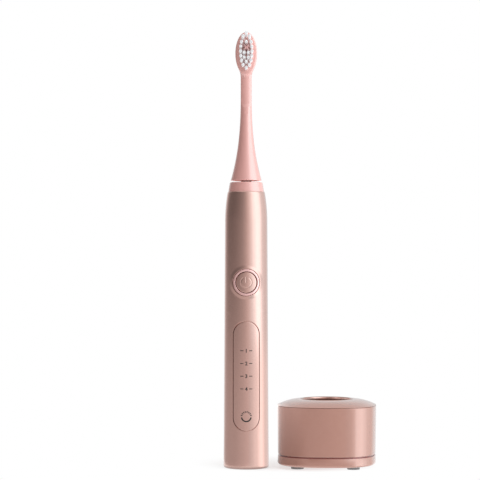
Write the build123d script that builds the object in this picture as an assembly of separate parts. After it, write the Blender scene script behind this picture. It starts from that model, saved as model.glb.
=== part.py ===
from build123d import *
import os
from math import atan2, cos, degrees, radians, sin, sqrt

# An electric toothbrush that stands beside its charging base.
# Millimetres, +Z up, front towards -Y. The origin is the middle of the pair's footprint, on the
# surface that both stand on. Each of the two is drawn about its own axis and then put in its place.

# Places of the two
STAND_GAP = 4.8  # between the brush's foot and the charger's side, along X
STAND_SETBACK = 7.0  # the brush's axis lies this far in front of the charger's
CHARGER_TURN = -5.5  # degrees about Z

# Clearances
SEAT_GAP = 0.1  # fixed pieces, along a seat
RUN_GAP = 0.05  # shafts and the bores that they turn or slide in
PRESS_GAP = 0.02  # pieces pressed or glued on a shaft or in a case
STACK_GAP = 0.2  # stacked pieces, end to end

# Handle shell
HANDLE_LENGTH = 153.45
SHELL_WALL = 1.6
FOOT_SPREAD = 0.88  # beyond the waist's radius
FOOT_CORNER_R = 2.2
FLARE_SPREAD = 0.64  # beyond the waist's radius
FLARE_HEIGHT = 22.0
SHOULDER_LENGTH = 16.2
SHOULDER_DROP = 1.45  # within the waist's radius
TOP_WALL = 1.6
NECKING_LENGTH = 9.0

# Neck collar, its seal and the rubber boot round the shaft
COLLAR_HEIGHT = 5.6
COLLAR_STEP = 0.35
COLLAR_DRAFT = 0.95
COLLAR_PLATE = 2.0
SPIGOT_LENGTH = 6.0
SPIGOT_WALL = 2.2
SEAL_WIRE_R = 0.55
BOOT_R = 2.95
BOOT_RISE = 1.7
BOOT_FLANGE_R = 4.6
BOOT_FLANGE = 2.0

# Power button
BUTTON_AT = 0.6716  # of the handle's length
BUTTON_R = 5.75
BUTTON_THICK = 1.0
BUTTON_SINK = 0.1
BUTTON_TRAVEL = 0.5
BEZEL_WIDTH = 1.4
BEZEL_PROUD = 0.25
BEZEL_GAP = 0.3
STEM_R = 1.6
SYMBOL_R = 3.15
SYMBOL_LINE = 0.6
SYMBOL_DEPTH = 0.25
SYMBOL_BREAK = 2.4
BUTTON_SEAL_THICK = 0.55
BUTTON_SEAL_LAP = 0.8

# Mode panel and the lights behind it
PANEL_AT = 0.3353  # of the handle's length
PANEL_SHARE = 0.3917  # of the handle's length
PANEL_WIDTH = 14.2
PANEL_THICK = 1.0
PANEL_GAP = 0.25
MODE_COUNT = 4
MODE_TOP_AT = 0.233  # of the panel's length, above its middle
MODE_PITCH_SHARE = 0.1165  # of the panel's length
CHARGE_LIGHT_AT = 0.371  # of the panel's length, below its middle
PIPE_R = 0.95
LED_WIDTH = 1.6
LED_HEIGHT = 0.6

# Motor
MOTOR_R = 6.5
MOTOR_SHARE = 0.2853  # of the handle's length
MOTOR_WALL = 0.6
MOTOR_END = 4.0
BUSH_LENGTH = 3.0
BUSH_WALL = 1.4
JOURNAL_R = 1.5
ROTOR_R = 3.2
ROTOR_LENGTH = 22.0
MAGNET_THICK = 1.0
MAGNET_ARC = 120.0
AIR_GAP = 0.45
YOKE_LENGTH = 4.0
DAMPER_THICK = 1.1
DAMPER_LENGTH = 4.5

# Drive shaft above the motor, and the socket that grips it
POST_R = 2.0
POST_FLAT = 0.6
GRIP_LENGTH = 12.0
POST_REACH = 15.6
SOCKET_WALL = 1.25
SOCKET_LENGTH = 13.6
SOCKET_ROOF = 1.4
CLIP_WIRE = 0.7
CLIP_ARC = 290.0
CLIP_RISE = 2.5

# Brush head
HEAD_GAP = 0.9
SKIRT_STEP = 0.35
SKIRT_SLOPE = 0.29
SKIRT_WALL = 1.4
SKIRT_HANDLE = 15.0
NECK_HANDLE = 17.0
FLARE_LENGTH = 46.3
NECK_R = 3.08
NECK_LENGTH = 70.65
FACET_LOW = 44.0
FACET_HIGH = 58.5
FACET_DEPTH = 0.68
HEAD_HALF_WIDTH = 6.05
HEAD_HALF_LENGTH = 11.95
HEAD_FRONT = 3.0
HEAD_BACK = 2.2
HEAD_FRONT_ROUND = 0.8
HEAD_BACK_ROUND = 1.5

# Bristles
TUFT_PLATE_MARGIN = 1.3
TUFT_PLATE_THICK = 1.0
TUFT_RING_X = 3.15
TUFT_RING_Z = 9.15
TUFT_RING_COUNT = 16
INNER_TUFTS = ((0.0, 5.1), (-1.15, -0.7), (1.15, -0.7), (-1.15, -3.4), (1.15, -3.4), (0.0, -5.7))
STRAND_SIDE = 0.24
STRAND_RINGS = ((0.0, 1), (0.36, 5), (0.69, 10))
BRISTLE_LENGTH = 9.2
INNER_BRISTLE_LENGTH = 8.6
STRAND_ROOT = 0.4
CROSS_Z = 2.1
CROSS_ARM_STRANDS = 4
CROSS_PITCH = 0.34
CROSS_PLATE_R = 1.9

# Battery, board and chassis
BATTERY_ROOM = 1.6
BATTERY_SHARE = 0.3243  # of the handle's length
BATTERY_NUB_R = 2.6
BATTERY_NUB = 0.8
TAB_THICK = 0.2
TAB_WIDTH = 4.0
TAB_FOOT = 3.0
CHASSIS_WALL = 1.2
BULKHEAD = 1.6
MID_BULKHEAD = 3.6
TOP_BULKHEAD = 2.0
BOARD_WIDTH = 10.0
BOARD_THICK = 1.0
BOARD_STANDOFF = 0.4
SWITCH_SIDE = 4.0
SWITCH_HEIGHT = 1.2
PLUNGER_R = 1.0
PLUNGER_LENGTH = 0.7
PLUNGER_PROUD = 0.5
PLUNGER_ROOM = 0.6
CHIP_SIDE = 5.0
CHIP_HEIGHT = 0.9
CHIP_DROP = 13.0
CHARGE_CHIP_AT = 0.4387  # of the way from the board's foot to the charge light
BOARD_SCREW_SPACING = 6.0
BOARD_SCREW_R = 0.75
BOARD_SCREW_HEAD_R = 1.35
BOARD_SCREW_HEAD = 0.7
BOARD_SCREW_LENGTH = 4.5

# Bottom cap and receiving coil
CAP_LENGTH = 6.0
BOBBIN_LENGTH = 10.5
BOBBIN_FLANGE = 1.0
BOBBIN_ROOM = 1.6
BOBBIN_WALL = 1.0
FERRITE_R = 2.8
COIL_INSET = 0.4

# Charger outline and heights
CHARGER_WIDTH = 55.4
CHARGER_SIDE_R = 54.0
CHARGER_CORNER_R = 20.0
WALL_TAPER = 0.45
WALL_THICK = 1.6
FOOT_HEIGHT = 1.7
BASE_TOP = 6.85
BASE_FLARE = 0.25
BASE_FLOOR = 2.0
BASE_ROUND = 1.2
SEAM_GAP = 0.55
SEAM_DEPTH = 1.1
BASE_SPIGOT = 3.0
BASE_SPIGOT_WALL = 1.5
CREASE_Z = 34.3
LAND_Z = 37.5
LID_STEP = 0.12
LID_STAGES = 4
LID_THICK = 1.8
LID_SPIGOT = 2.8
LID_SPIGOT_WALL = 1.6

# Charging well and sending coil
WELL_CLEAR = 0.52
WELL_DEPTH = 16.0
WELL_WALL = 0.8
WELL_FLOOR = 1.5
LIP_WIDTH = 1.5
LIP_THICK = 0.5
LIP_ROUND = 0.45
SPOOL_WALL = 0.8
SPOOL_FLANGE = 1.0
SPOOL_LENGTH = 11.5
PLATE_THICK = 1.5
POST_COUNT = 3
STAND_POST_R = 2.0

# Charger feet, screws, board and inlet
RUBBER_R = 3.5
RUBBER_INSET = 8.0
RUBBER_SINK = 0.8
SCREW_BOSS_SHARE = 0.2452  # of the room between the well's cup and the wall's face
SCREW_INSET_SHARE = 0.2989  # of that room
SCREW_SPREAD = 6.0
SCREW_BOSS_LENGTH = 12.0
SCREW_SHARE = 0.092  # of that room
SCREW_HEAD_SHARE = 0.1686  # of that room
SCREW_HEAD = 1.4
SCREW_LENGTH = 14.0
CHARGER_BOARD_SHARE = 0.4727  # of the charger's width
CHARGER_BOARD_DEPTH = 15.0
CHARGER_BOARD_THICK = 1.6
BOARD_SET_IN = 0.6
BOARD_POST_R = 1.8
BOARD_POST_INSET = 2.2
COMPONENT_HEIGHT = 3.0
INLET_WIDTH = 8.94
INLET_HEIGHT = 3.26
INLET_DEPTH = 7.3
INLET_WALL = 0.3
INLET_SET_IN = 1.4
INLET_CLEAR = 0.25
TONGUE_WIDTH = 6.6
TONGUE_THICK = 0.7
TONGUE_LENGTH = 5.6

# Heights that follow, from the brush's base upwards
BUTTON_Z = BUTTON_AT * HANDLE_LENGTH
PANEL_Z = PANEL_AT * HANDLE_LENGTH
PANEL_LENGTH = PANEL_SHARE * HANDLE_LENGTH
MODE_TOP_Z = PANEL_Z + MODE_TOP_AT * PANEL_LENGTH
MODE_PITCH = MODE_PITCH_SHARE * PANEL_LENGTH
CHARGE_LIGHT_Z = PANEL_Z - CHARGE_LIGHT_AT * PANEL_LENGTH
BATTERY_LENGTH = BATTERY_SHARE * HANDLE_LENGTH
MOTOR_LENGTH = MOTOR_SHARE * HANDLE_LENGTH
LOW_BULKHEAD_Z = CAP_LENGTH + BOBBIN_LENGTH + STACK_GAP
BATTERY_Z = LOW_BULKHEAD_Z + BULKHEAD + TAB_THICK
MID_BULKHEAD_Z = BATTERY_Z + BATTERY_LENGTH + TAB_THICK
MOTOR_Z = MID_BULKHEAD_Z + MID_BULKHEAD + STACK_GAP
MOTOR_TOP = MOTOR_Z + MOTOR_LENGTH
TOP_BULKHEAD_Z = MOTOR_TOP + STACK_GAP
SHOULDER_Z = HANDLE_LENGTH - SHOULDER_LENGTH
COLLAR_TOP = HANDLE_LENGTH + COLLAR_HEIGHT
SKIRT_Z = COLLAR_TOP + HEAD_GAP
POST_TOP = SKIRT_Z + POST_REACH
HEAD_Z = SKIRT_Z + NECK_LENGTH

# Radii and depths that follow: the motor and what lies in front of it set the handle's girth
BOARD_BACK = MOTOR_R + BOARD_STANDOFF
BOARD_FRONT = BOARD_BACK + BOARD_THICK
SWITCH_FRONT = BOARD_FRONT + SWITCH_HEIGHT
PLUNGER_FRONT = SWITCH_FRONT + PLUNGER_PROUD
BORE_R = PLUNGER_FRONT + PLUNGER_ROOM
WAIST_R = BORE_R + SHELL_WALL
FOOT_R = WAIST_R + FOOT_SPREAD
FLARE_R = WAIST_R + FLARE_SPREAD
TOP_R = WAIST_R - SHOULDER_DROP
COLLAR_LOW_R = TOP_R - COLLAR_STEP
COLLAR_HIGH_R = COLLAR_LOW_R - COLLAR_DRAFT
SKIRT_R = COLLAR_HIGH_R - SKIRT_STEP
TOP_BORE_R = TOP_R - TOP_WALL
SPIGOT_R = TOP_BORE_R - SEAT_GAP
BEZEL_INNER_R = BUTTON_R + BEZEL_GAP
BEZEL_R = BEZEL_INNER_R + BEZEL_WIDTH
CHASSIS_R = BORE_R - SEAT_GAP
BATTERY_BACK = CHASSIS_R - CHASSIS_WALL - STACK_GAP
BATTERY_R = (BATTERY_BACK + BOARD_BACK - BATTERY_ROOM) / 2
BATTERY_Y = BATTERY_BACK - BATTERY_R
BOBBIN_FLANGE_R = BORE_R - BOBBIN_ROOM
BOARD_LOW = BATTERY_Z
BOARD_HIGH = MOTOR_TOP - DAMPER_LENGTH - 2 * STACK_GAP
CASE_BORE_R = MOTOR_R - MOTOR_WALL
BUSH_R = JOURNAL_R + RUN_GAP + BUSH_WALL
MAGNET_R = ROTOR_R + PRESS_GAP + MAGNET_THICK
STATOR_BORE_R = MAGNET_R + AIR_GAP
ROTOR_Z = MOTOR_Z + (MOTOR_LENGTH - ROTOR_LENGTH) / 2
SOCKET_R = POST_R + RUN_GAP + SOCKET_WALL
SOCKET_TOP = POST_TOP + STACK_GAP + SOCKET_ROOF

# Charger sizes that follow
CHARGER_HALF = CHARGER_WIDTH / 2
SIDE_REACH = CHARGER_SIDE_R - CHARGER_HALF
CORNER_CENTRE = (sqrt(2 * (CHARGER_SIDE_R - CHARGER_CORNER_R) ** 2 - SIDE_REACH**2) - SIDE_REACH) / 2
SIDE_ANGLE = degrees(atan2(CORNER_CENTRE, CORNER_CENTRE + SIDE_REACH))
WALL_LOW = BASE_TOP + SEAM_GAP
WELL_R = FOOT_R + WELL_CLEAR
LAND_R = WELL_R + LIP_WIDTH + STACK_GAP
CUP_R = WELL_R + WELL_WALL
RIM_Z = LAND_Z + LIP_THICK
CUP_LOW = RIM_Z - WELL_DEPTH - WELL_FLOOR
SPOOL_R = CUP_R + SEAT_GAP + SPOOL_WALL
PLATE_Z = CUP_LOW - SEAT_GAP - PLATE_THICK
BASE_INNER_Z = FOOT_HEIGHT + BASE_FLOOR
BASE_RIM = WALL_TAPER + WALL_THICK + STACK_GAP
CHARGER_BOARD_Z = WALL_LOW + BASE_SPIGOT + STACK_GAP
CHARGER_BOARD_WIDTH = CHARGER_BOARD_SHARE * CHARGER_WIDTH
BOARD_EDGE_Y = CHARGER_HALF - BASE_RIM - BASE_SPIGOT_WALL - BOARD_SET_IN
INLET_MOUTH_Y = CHARGER_HALF - WALL_TAPER - INLET_SET_IN
INLET_Z = CHARGER_BOARD_Z + CHARGER_BOARD_THICK + INLET_HEIGHT / 2
COIL_ROOM = CHARGER_HALF - WALL_TAPER - CUP_R
SCREW_BOSS_R = SCREW_BOSS_SHARE * COIL_ROOM
SCREW_R = SCREW_SHARE * COIL_ROOM
SCREW_HEAD_R = SCREW_HEAD_SHARE * COIL_ROOM
SCREW_X = CHARGER_HALF - WALL_TAPER - SCREW_INSET_SHARE * COIL_ROOM
SCREW_SEAT_Z = FOOT_HEIGHT + SCREW_HEAD
SPOOL_FLANGE_R = SCREW_X - SCREW_BOSS_R - RUN_GAP
RUBBER_SPREAD = CORNER_CENTRE + (CHARGER_CORNER_R - RUBBER_INSET) / sqrt(2)
BOSS_LOW = WALL_LOW + BASE_SPIGOT + STACK_GAP

# Places that centre the pair's box on the origin
STAND_SPACING = CHARGER_HALF + FOOT_R + STAND_GAP
HALF_SPAN = CHARGER_SIDE_R - SIDE_REACH * cos(radians(CHARGER_TURN))
BRUSH_X = (FOOT_R - STAND_SPACING - HALF_SPAN) / 2
BRUSH_PLACE = Pos(BRUSH_X, -STAND_SETBACK, 0)
CHARGER_PLACE = Pos(BRUSH_X + STAND_SPACING, 0, 0) * Rot(0, 0, CHARGER_TURN)

STANDING = (Align.CENTER, Align.CENTER, Align.MIN)


def rod(radius, low, high):
    """A solid cylinder about Z."""
    return Pos(0, 0, low) * Cylinder(radius, high - low, align=STANDING)


def tube(outer, inner, low, high):
    """A hollow cylinder about Z."""
    return extrude(Pos(0, 0, low) * (Circle(outer) - Circle(inner)), high - low)


def turned(*points):
    """A solid turned about Z from the (radius, height) corners of its half section."""
    return revolve(Plane.XZ * Polygon(*points, align=None), Axis.Z)


def forward(outline, near, far):
    """An outline in the front view, pushed forward from depth near to depth far."""
    return extrude(Plane.XZ.offset(near) * outline, far - near)


def slab(width, height, z, near, far):
    """A block seen from the front as width by height about height z, between two depths."""
    return forward(Pos(0, z) * Rectangle(width, height), near, far)


def seal_ring(radius, z):
    """A round-section sealing ring about Z."""
    return Pos(0, 0, z) * Torus(radius, SEAL_WIRE_R)


def handle_form(offset):
    """The handle's full outer form, with every radius moved outwards by offset."""
    foot = FOOT_R + offset
    low = (FLARE_R + offset, FLARE_HEIGHT)
    high = (WAIST_R + offset, SHOULDER_Z)
    rise = Vector(*high) - Vector(*low)
    corner = CenterArc((foot - FOOT_CORNER_R, FOOT_CORNER_R), FOOT_CORNER_R, -90, 90)
    flare = TangentArc(low, (foot, FOOT_CORNER_R), tangent=-rise)
    side = Line(low, high)
    shoulder = TangentArc(high, (TOP_R + offset, HANDLE_LENGTH), tangent=rise)
    close = Polyline((TOP_R + offset, HANDLE_LENGTH), (0, HANDLE_LENGTH), (0, 0), corner @ 0)
    return revolve(Plane.XZ * make_face([corner, flare, side, shoulder, *close.edges()]), Axis.Z)


def handle_layer(outer, inner):
    """A layer of the handle's form between two offsets."""
    return handle_form(outer) - handle_form(inner)


def light_heights():
    """Heights of the mode lights, from the top one down, and of the charge light."""
    modes = [MODE_TOP_Z - MODE_PITCH * step for step in range(MODE_COUNT)]
    return [*modes, CHARGE_LIGHT_Z]


def panel_outline(margin):
    """The upright round-ended outline of the mode panel."""
    slot = SlotOverall(PANEL_LENGTH + 2 * margin, PANEL_WIDTH + 2 * margin, rotation=90)
    return Pos(0, PANEL_Z) * slot


def button_spot(outline):
    """An outline moved to the button's centre in the front view."""
    return Pos(0, BUTTON_Z) * outline


def power_symbol():
    """A broken ring with a bar through its break."""
    ring = Circle(SYMBOL_R + SYMBOL_LINE / 2) - Circle(SYMBOL_R - SYMBOL_LINE / 2)
    gap = Pos(0, SYMBOL_R) * Rectangle(SYMBOL_BREAK, SYMBOL_R)
    bar = Pos(0, SYMBOL_R / 2 + SYMBOL_LINE / 2) * Rectangle(SYMBOL_LINE, SYMBOL_R)
    return ring - gap + bar


def handle_shell():
    """The handle's outer shell, open at both ends, with its button hole and panel pocket."""
    bore = turned(
        (0, 0),
        (BORE_R, 0),
        (BORE_R, SHOULDER_Z),
        (TOP_BORE_R, SHOULDER_Z + NECKING_LENGTH),
        (TOP_BORE_R, HANDLE_LENGTH),
        (0, HANDLE_LENGTH),
    )
    shell = handle_form(0) - bore
    shell -= forward(button_spot(Circle(BEZEL_R + SEAT_GAP)), 0, FOOT_R)
    shell -= handle_layer(0, -PANEL_THICK) & forward(panel_outline(PANEL_GAP), 0, FOOT_R)
    for z in light_heights():
        shell -= forward(Pos(0, z) * Circle(PIPE_R + SEAT_GAP), 0, FOOT_R)
    return shell


def neck_collar():
    """The collar that closes the handle's top, with a spigot, a seal groove and a boot hole."""
    spigot_low = HANDLE_LENGTH - SPIGOT_LENGTH
    inner = SPIGOT_R - SPIGOT_WALL
    collar = turned(
        (inner, spigot_low),
        (SPIGOT_R, spigot_low),
        (SPIGOT_R, HANDLE_LENGTH),
        (COLLAR_LOW_R, HANDLE_LENGTH),
        (COLLAR_HIGH_R, COLLAR_TOP),
        (BOOT_R + SEAT_GAP, COLLAR_TOP),
        (BOOT_R + SEAT_GAP, COLLAR_TOP - COLLAR_PLATE),
        (inner, COLLAR_TOP - COLLAR_PLATE),
    )
    return collar - seal_groove(SPIGOT_R, HANDLE_LENGTH - SPIGOT_LENGTH / 2)


def seal_groove(radius, z):
    """The square groove that a sealing ring sits in."""
    half = SEAL_WIRE_R + SEAT_GAP
    return tube(radius + SEAT_GAP, radius - 2 * SEAL_WIRE_R, z - half, z + half)


def shaft_boot():
    """The rubber boot round the drive shaft, with a flange under the collar's plate."""
    inner = POST_R + RUN_GAP
    flange_top = COLLAR_TOP - COLLAR_PLATE - SEAT_GAP
    return turned(
        (inner, flange_top - BOOT_FLANGE),
        (BOOT_FLANGE_R, flange_top - BOOT_FLANGE),
        (BOOT_FLANGE_R, flange_top),
        (BOOT_R, flange_top),
        (BOOT_R, COLLAR_TOP + BOOT_RISE),
        (inner, COLLAR_TOP + BOOT_RISE),
    )


def button_bezel():
    """The bright ring round the button, bent to the handle and a little proud of it."""
    ring = Circle(BEZEL_R) - Circle(BEZEL_INNER_R)
    layer = handle_form(BEZEL_PROUD) - rod(BORE_R, 0, HANDLE_LENGTH)
    return layer & forward(button_spot(ring), 0, FOOT_R + BEZEL_PROUD)


def button_seal():
    """The rubber ring behind the button, lapped inside the shell's bore."""
    ring = Circle(BEZEL_R + BUTTON_SEAL_LAP) - Circle(STEM_R + BUTTON_SEAL_LAP)
    outer = BORE_R - SEAT_GAP
    layer = tube(outer, outer - BUTTON_SEAL_THICK, 0, HANDLE_LENGTH)
    return layer & forward(button_spot(ring), 0, FOOT_R)


def power_button():
    """The button's cap, bent to the handle, with its sunk symbol and the stem behind it."""
    form = handle_layer(-BUTTON_SINK, -BUTTON_SINK - BUTTON_THICK)
    cap = form & forward(button_spot(Circle(BUTTON_R)), 0, FOOT_R)
    sunk = handle_layer(0, -BUTTON_SINK - SYMBOL_DEPTH)
    cap -= sunk & forward(button_spot(power_symbol()), 0, FOOT_R)
    stem = forward(button_spot(Circle(STEM_R)), PLUNGER_FRONT, WAIST_R)
    return cap + (stem & handle_form(-BUTTON_SINK - SYMBOL_DEPTH))


def mode_panel():
    """The thin panel that lies flush in the shell's front pocket."""
    return handle_layer(0, -PANEL_THICK) & forward(panel_outline(0), 0, FOOT_R)


def light_pipes():
    """One clear pipe behind each light, through the pocket's floor."""
    low = BOARD_FRONT + LED_HEIGHT + SEAT_GAP
    under_panel = handle_form(-PANEL_THICK - SEAT_GAP)
    return [forward(Pos(0, z) * Circle(PIPE_R), low, FOOT_R) & under_panel for z in light_heights()]


def mode_leds():
    """One small light under each pipe, on the board's front."""
    top = BOARD_FRONT + LED_HEIGHT
    return [slab(LED_WIDTH, LED_WIDTH, z, BOARD_FRONT, top) for z in light_heights()]


def board_screw_spots():
    """Front-view places of the two screws that hold the board to the middle bulkhead."""
    z = MID_BULKHEAD_Z + MID_BULKHEAD / 2
    return [Pos(side * BOARD_SCREW_SPACING / 2, z) for side in (-1, 1)]


def chassis():
    """The half-tube carrier, with a bulkhead under and over the battery and round the motor."""
    top = TOP_BULKHEAD_Z + TOP_BULKHEAD
    damper_r = MOTOR_R + DAMPER_THICK + SEAT_GAP
    half = Pos(0, CHASSIS_R, 0) * Box(2 * CHASSIS_R, 2 * CHASSIS_R, 2 * top)
    frame = tube(CHASSIS_R, CHASSIS_R - CHASSIS_WALL, LOW_BULKHEAD_Z, top) & half
    frame += rod(CHASSIS_R, LOW_BULKHEAD_Z, LOW_BULKHEAD_Z + BULKHEAD)
    frame += rod(CHASSIS_R, MID_BULKHEAD_Z, MID_BULKHEAD_Z + MID_BULKHEAD)
    frame += tube(CHASSIS_R, damper_r, MOTOR_TOP - DAMPER_LENGTH, TOP_BULKHEAD_Z)
    frame += tube(CHASSIS_R, BUSH_R + STACK_GAP, TOP_BULKHEAD_Z, top)
    frame -= slab(2 * CHASSIS_R, 2 * top, 0, BOARD_BACK - SEAT_GAP, 2 * CHASSIS_R)
    for spot in board_screw_spots():
        hole = spot * Circle(BOARD_SCREW_R + PRESS_GAP)
        frame -= forward(hole, BOARD_BACK - BOARD_SCREW_LENGTH - STACK_GAP, BOARD_FRONT)
    return frame


def main_board():
    """The long circuit board in front of the battery and the motor."""
    length = BOARD_HIGH - BOARD_LOW
    board = slab(BOARD_WIDTH, length, BOARD_LOW + length / 2, BOARD_BACK, BOARD_FRONT)
    for spot in board_screw_spots():
        board -= forward(spot * Circle(BOARD_SCREW_R + SEAT_GAP), BOARD_BACK, BOARD_FRONT)
    return board


def board_screws():
    """The two small screws through the board."""
    shank_end = BOARD_FRONT - BOARD_SCREW_LENGTH
    screws = []
    for spot in board_screw_spots():
        shank = forward(spot * Circle(BOARD_SCREW_R), shank_end, BOARD_FRONT)
        head = forward(spot * Circle(BOARD_SCREW_HEAD_R), BOARD_FRONT, BOARD_FRONT + BOARD_SCREW_HEAD)
        screws.append(shank + head)
    return screws


def tact_switch():
    """The switch body on the board, with the well that its plunger slides in."""
    body = slab(SWITCH_SIDE, SWITCH_SIDE, BUTTON_Z, BOARD_FRONT, SWITCH_FRONT)
    well_floor = SWITCH_FRONT - BUTTON_TRAVEL - PLUNGER_LENGTH + PLUNGER_PROUD - STACK_GAP
    return body - forward(button_spot(Circle(PLUNGER_R + SEAT_GAP)), well_floor, SWITCH_FRONT)


def switch_plunger():
    """The plunger that the button's stem pushes."""
    return forward(button_spot(Circle(PLUNGER_R)), PLUNGER_FRONT - PLUNGER_LENGTH, PLUNGER_FRONT)


def board_chips():
    """The controller under the switch and the charging chip near the board's foot."""
    charge_chip_z = BOARD_LOW + CHARGE_CHIP_AT * (CHARGE_LIGHT_Z - BOARD_LOW)
    spots = (BUTTON_Z - CHIP_DROP, charge_chip_z)
    return [slab(CHIP_SIDE, CHIP_SIDE, z, BOARD_FRONT, BOARD_FRONT + CHIP_HEIGHT) for z in spots]


def battery():
    """The round cell, with its raised contact at the top."""
    body_top = BATTERY_Z + BATTERY_LENGTH - BATTERY_NUB
    cell = rod(BATTERY_R, BATTERY_Z, body_top) + rod(BATTERY_NUB_R, body_top, BATTERY_Z + BATTERY_LENGTH)
    return Pos(0, BATTERY_Y, 0) * cell


def battery_tabs():
    """A bent strip from each end of the cell to the back of the board."""
    tabs = []
    for low, foot_low in (
        (BATTERY_Z - TAB_THICK, BATTERY_Z - TAB_THICK),
        (BATTERY_Z + BATTERY_LENGTH, BATTERY_Z + BATTERY_LENGTH + TAB_THICK - TAB_FOOT),
    ):
        strip = slab(TAB_WIDTH, TAB_THICK, low + TAB_THICK / 2, -BATTERY_Y, BOARD_BACK - SEAT_GAP)
        foot_near = BOARD_BACK - SEAT_GAP - TAB_THICK
        foot = slab(TAB_WIDTH, TAB_FOOT, foot_low + TAB_FOOT / 2, foot_near, BOARD_BACK - SEAT_GAP)
        tabs.append(strip + foot)
    return tabs


def motor_case():
    """The motor's can, closed at the rear with a seat for the rear bush."""
    case = rod(MOTOR_R, MOTOR_Z, MOTOR_TOP)
    case -= rod(CASE_BORE_R, MOTOR_Z + MOTOR_END, MOTOR_TOP)
    return case - rod(BUSH_R + PRESS_GAP, MOTOR_Z + MOTOR_END - BUSH_LENGTH, MOTOR_Z + MOTOR_END)


def motor_end_plate():
    """The plate in the can's mouth that carries the front bush."""
    return tube(CASE_BORE_R - PRESS_GAP, BUSH_R + PRESS_GAP, MOTOR_TOP - BUSH_LENGTH, MOTOR_TOP)


def bush(low):
    """A bearing bush for the shaft's journal."""
    return tube(BUSH_R, JOURNAL_R + RUN_GAP, low, low + BUSH_LENGTH)


def stator():
    """The winding, as one ring, and the yoke ring at each end of it."""
    outer = CASE_BORE_R - PRESS_GAP
    high = ROTOR_Z + ROTOR_LENGTH
    coil = tube(outer, STATOR_BORE_R, ROTOR_Z + YOKE_LENGTH + SEAT_GAP, high - YOKE_LENGTH - SEAT_GAP)
    low_yoke = tube(outer, STATOR_BORE_R, ROTOR_Z, ROTOR_Z + YOKE_LENGTH)
    high_yoke = tube(outer, STATOR_BORE_R, high - YOKE_LENGTH, high)
    return coil, [low_yoke, high_yoke]


def motor_damper():
    """The rubber sleeve between the motor's nose and the chassis."""
    return tube(MOTOR_R + DAMPER_THICK, MOTOR_R + PRESS_GAP, MOTOR_TOP - DAMPER_LENGTH, MOTOR_TOP)


def drive_shaft():
    """The stepped shaft from the rear bush to the head, with a flat on its grip."""
    shaft = rod(JOURNAL_R, MOTOR_Z + MOTOR_END - BUSH_LENGTH + STACK_GAP, MOTOR_TOP + STACK_GAP)
    shaft += rod(POST_R, MOTOR_TOP + STACK_GAP, POST_TOP)
    return shaft - post_flat(0)


def post_flat(clearance):
    """The space beside the grip's flat."""
    grip_z = POST_TOP - GRIP_LENGTH / 2
    return slab(4 * POST_R, GRIP_LENGTH, grip_z, POST_R - POST_FLAT + clearance, 2 * POST_R)


def rotor_magnets():
    """Two curved magnets on opposite sides of the rotor's core."""
    low = ROTOR_Z + YOKE_LENGTH
    high = ROTOR_Z + ROTOR_LENGTH - YOKE_LENGTH
    middle = Pos(MAGNET_R - MAGNET_THICK / 2, (low + high) / 2)
    section = Plane.XZ * middle * Rectangle(MAGNET_THICK, high - low)
    magnet = Rot(0, 0, -MAGNET_ARC / 2) * revolve(section, Axis.Z, MAGNET_ARC)
    return [magnet, Rot(0, 0, 180) * magnet]


def head_socket():
    """The sleeve in the skirt that grips the post, keyed to its flat."""
    low = SOCKET_TOP - SOCKET_LENGTH
    hole = rod(POST_R + RUN_GAP, low, POST_TOP + STACK_GAP) - post_flat(RUN_GAP)
    clip_low = low + CLIP_RISE
    groove = tube(SOCKET_R, SOCKET_R - CLIP_WIRE, clip_low - SEAT_GAP, clip_low + CLIP_WIRE + SEAT_GAP)
    return rod(SOCKET_R, low, SOCKET_TOP) - hole - groove


def socket_clip():
    """The open spring ring in the socket's groove."""
    low = SOCKET_TOP - SOCKET_LENGTH + CLIP_RISE
    middle = Pos(SOCKET_R - CLIP_WIRE / 2 + SEAT_GAP, low + CLIP_WIRE / 2)
    return revolve(Plane.XZ * middle * Rectangle(CLIP_WIRE, CLIP_WIRE), Axis.Z, CLIP_ARC)


def head_blank():
    """The skirt, flare and neck as one turned solid, with the front facet under the bristles."""
    neck_z = SKIRT_Z + FLARE_LENGTH
    neck_top = HEAD_Z - HEAD_HALF_LENGTH
    flare = Bezier(
        (SKIRT_R, SKIRT_Z),
        (SKIRT_R - SKIRT_SLOPE * SKIRT_HANDLE, SKIRT_Z + SKIRT_HANDLE),
        (NECK_R, neck_z - NECK_HANDLE),
        (NECK_R, neck_z),
    )
    close = Polyline(
        (NECK_R, neck_z),
        (NECK_R, neck_top),
        (HEAD_BACK - HEAD_FRONT_ROUND, HEAD_Z),
        (0, HEAD_Z),
        (0, SKIRT_Z),
        (SKIRT_R, SKIRT_Z),
    )
    blank = revolve(Plane.XZ * make_face([flare, *close.edges()]), Axis.Z)
    facet = Polygon(
        (-NECK_R, SKIRT_Z + FACET_LOW),
        (FACET_DEPTH - NECK_R, SKIRT_Z + FACET_HIGH),
        (FACET_DEPTH - NECK_R, HEAD_Z),
        (-2 * NECK_R, HEAD_Z),
        (-2 * NECK_R, SKIRT_Z + FACET_LOW),
        align=None,
    )
    return blank - extrude(Plane.YZ * facet, 2 * NECK_R, both=True)


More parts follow.
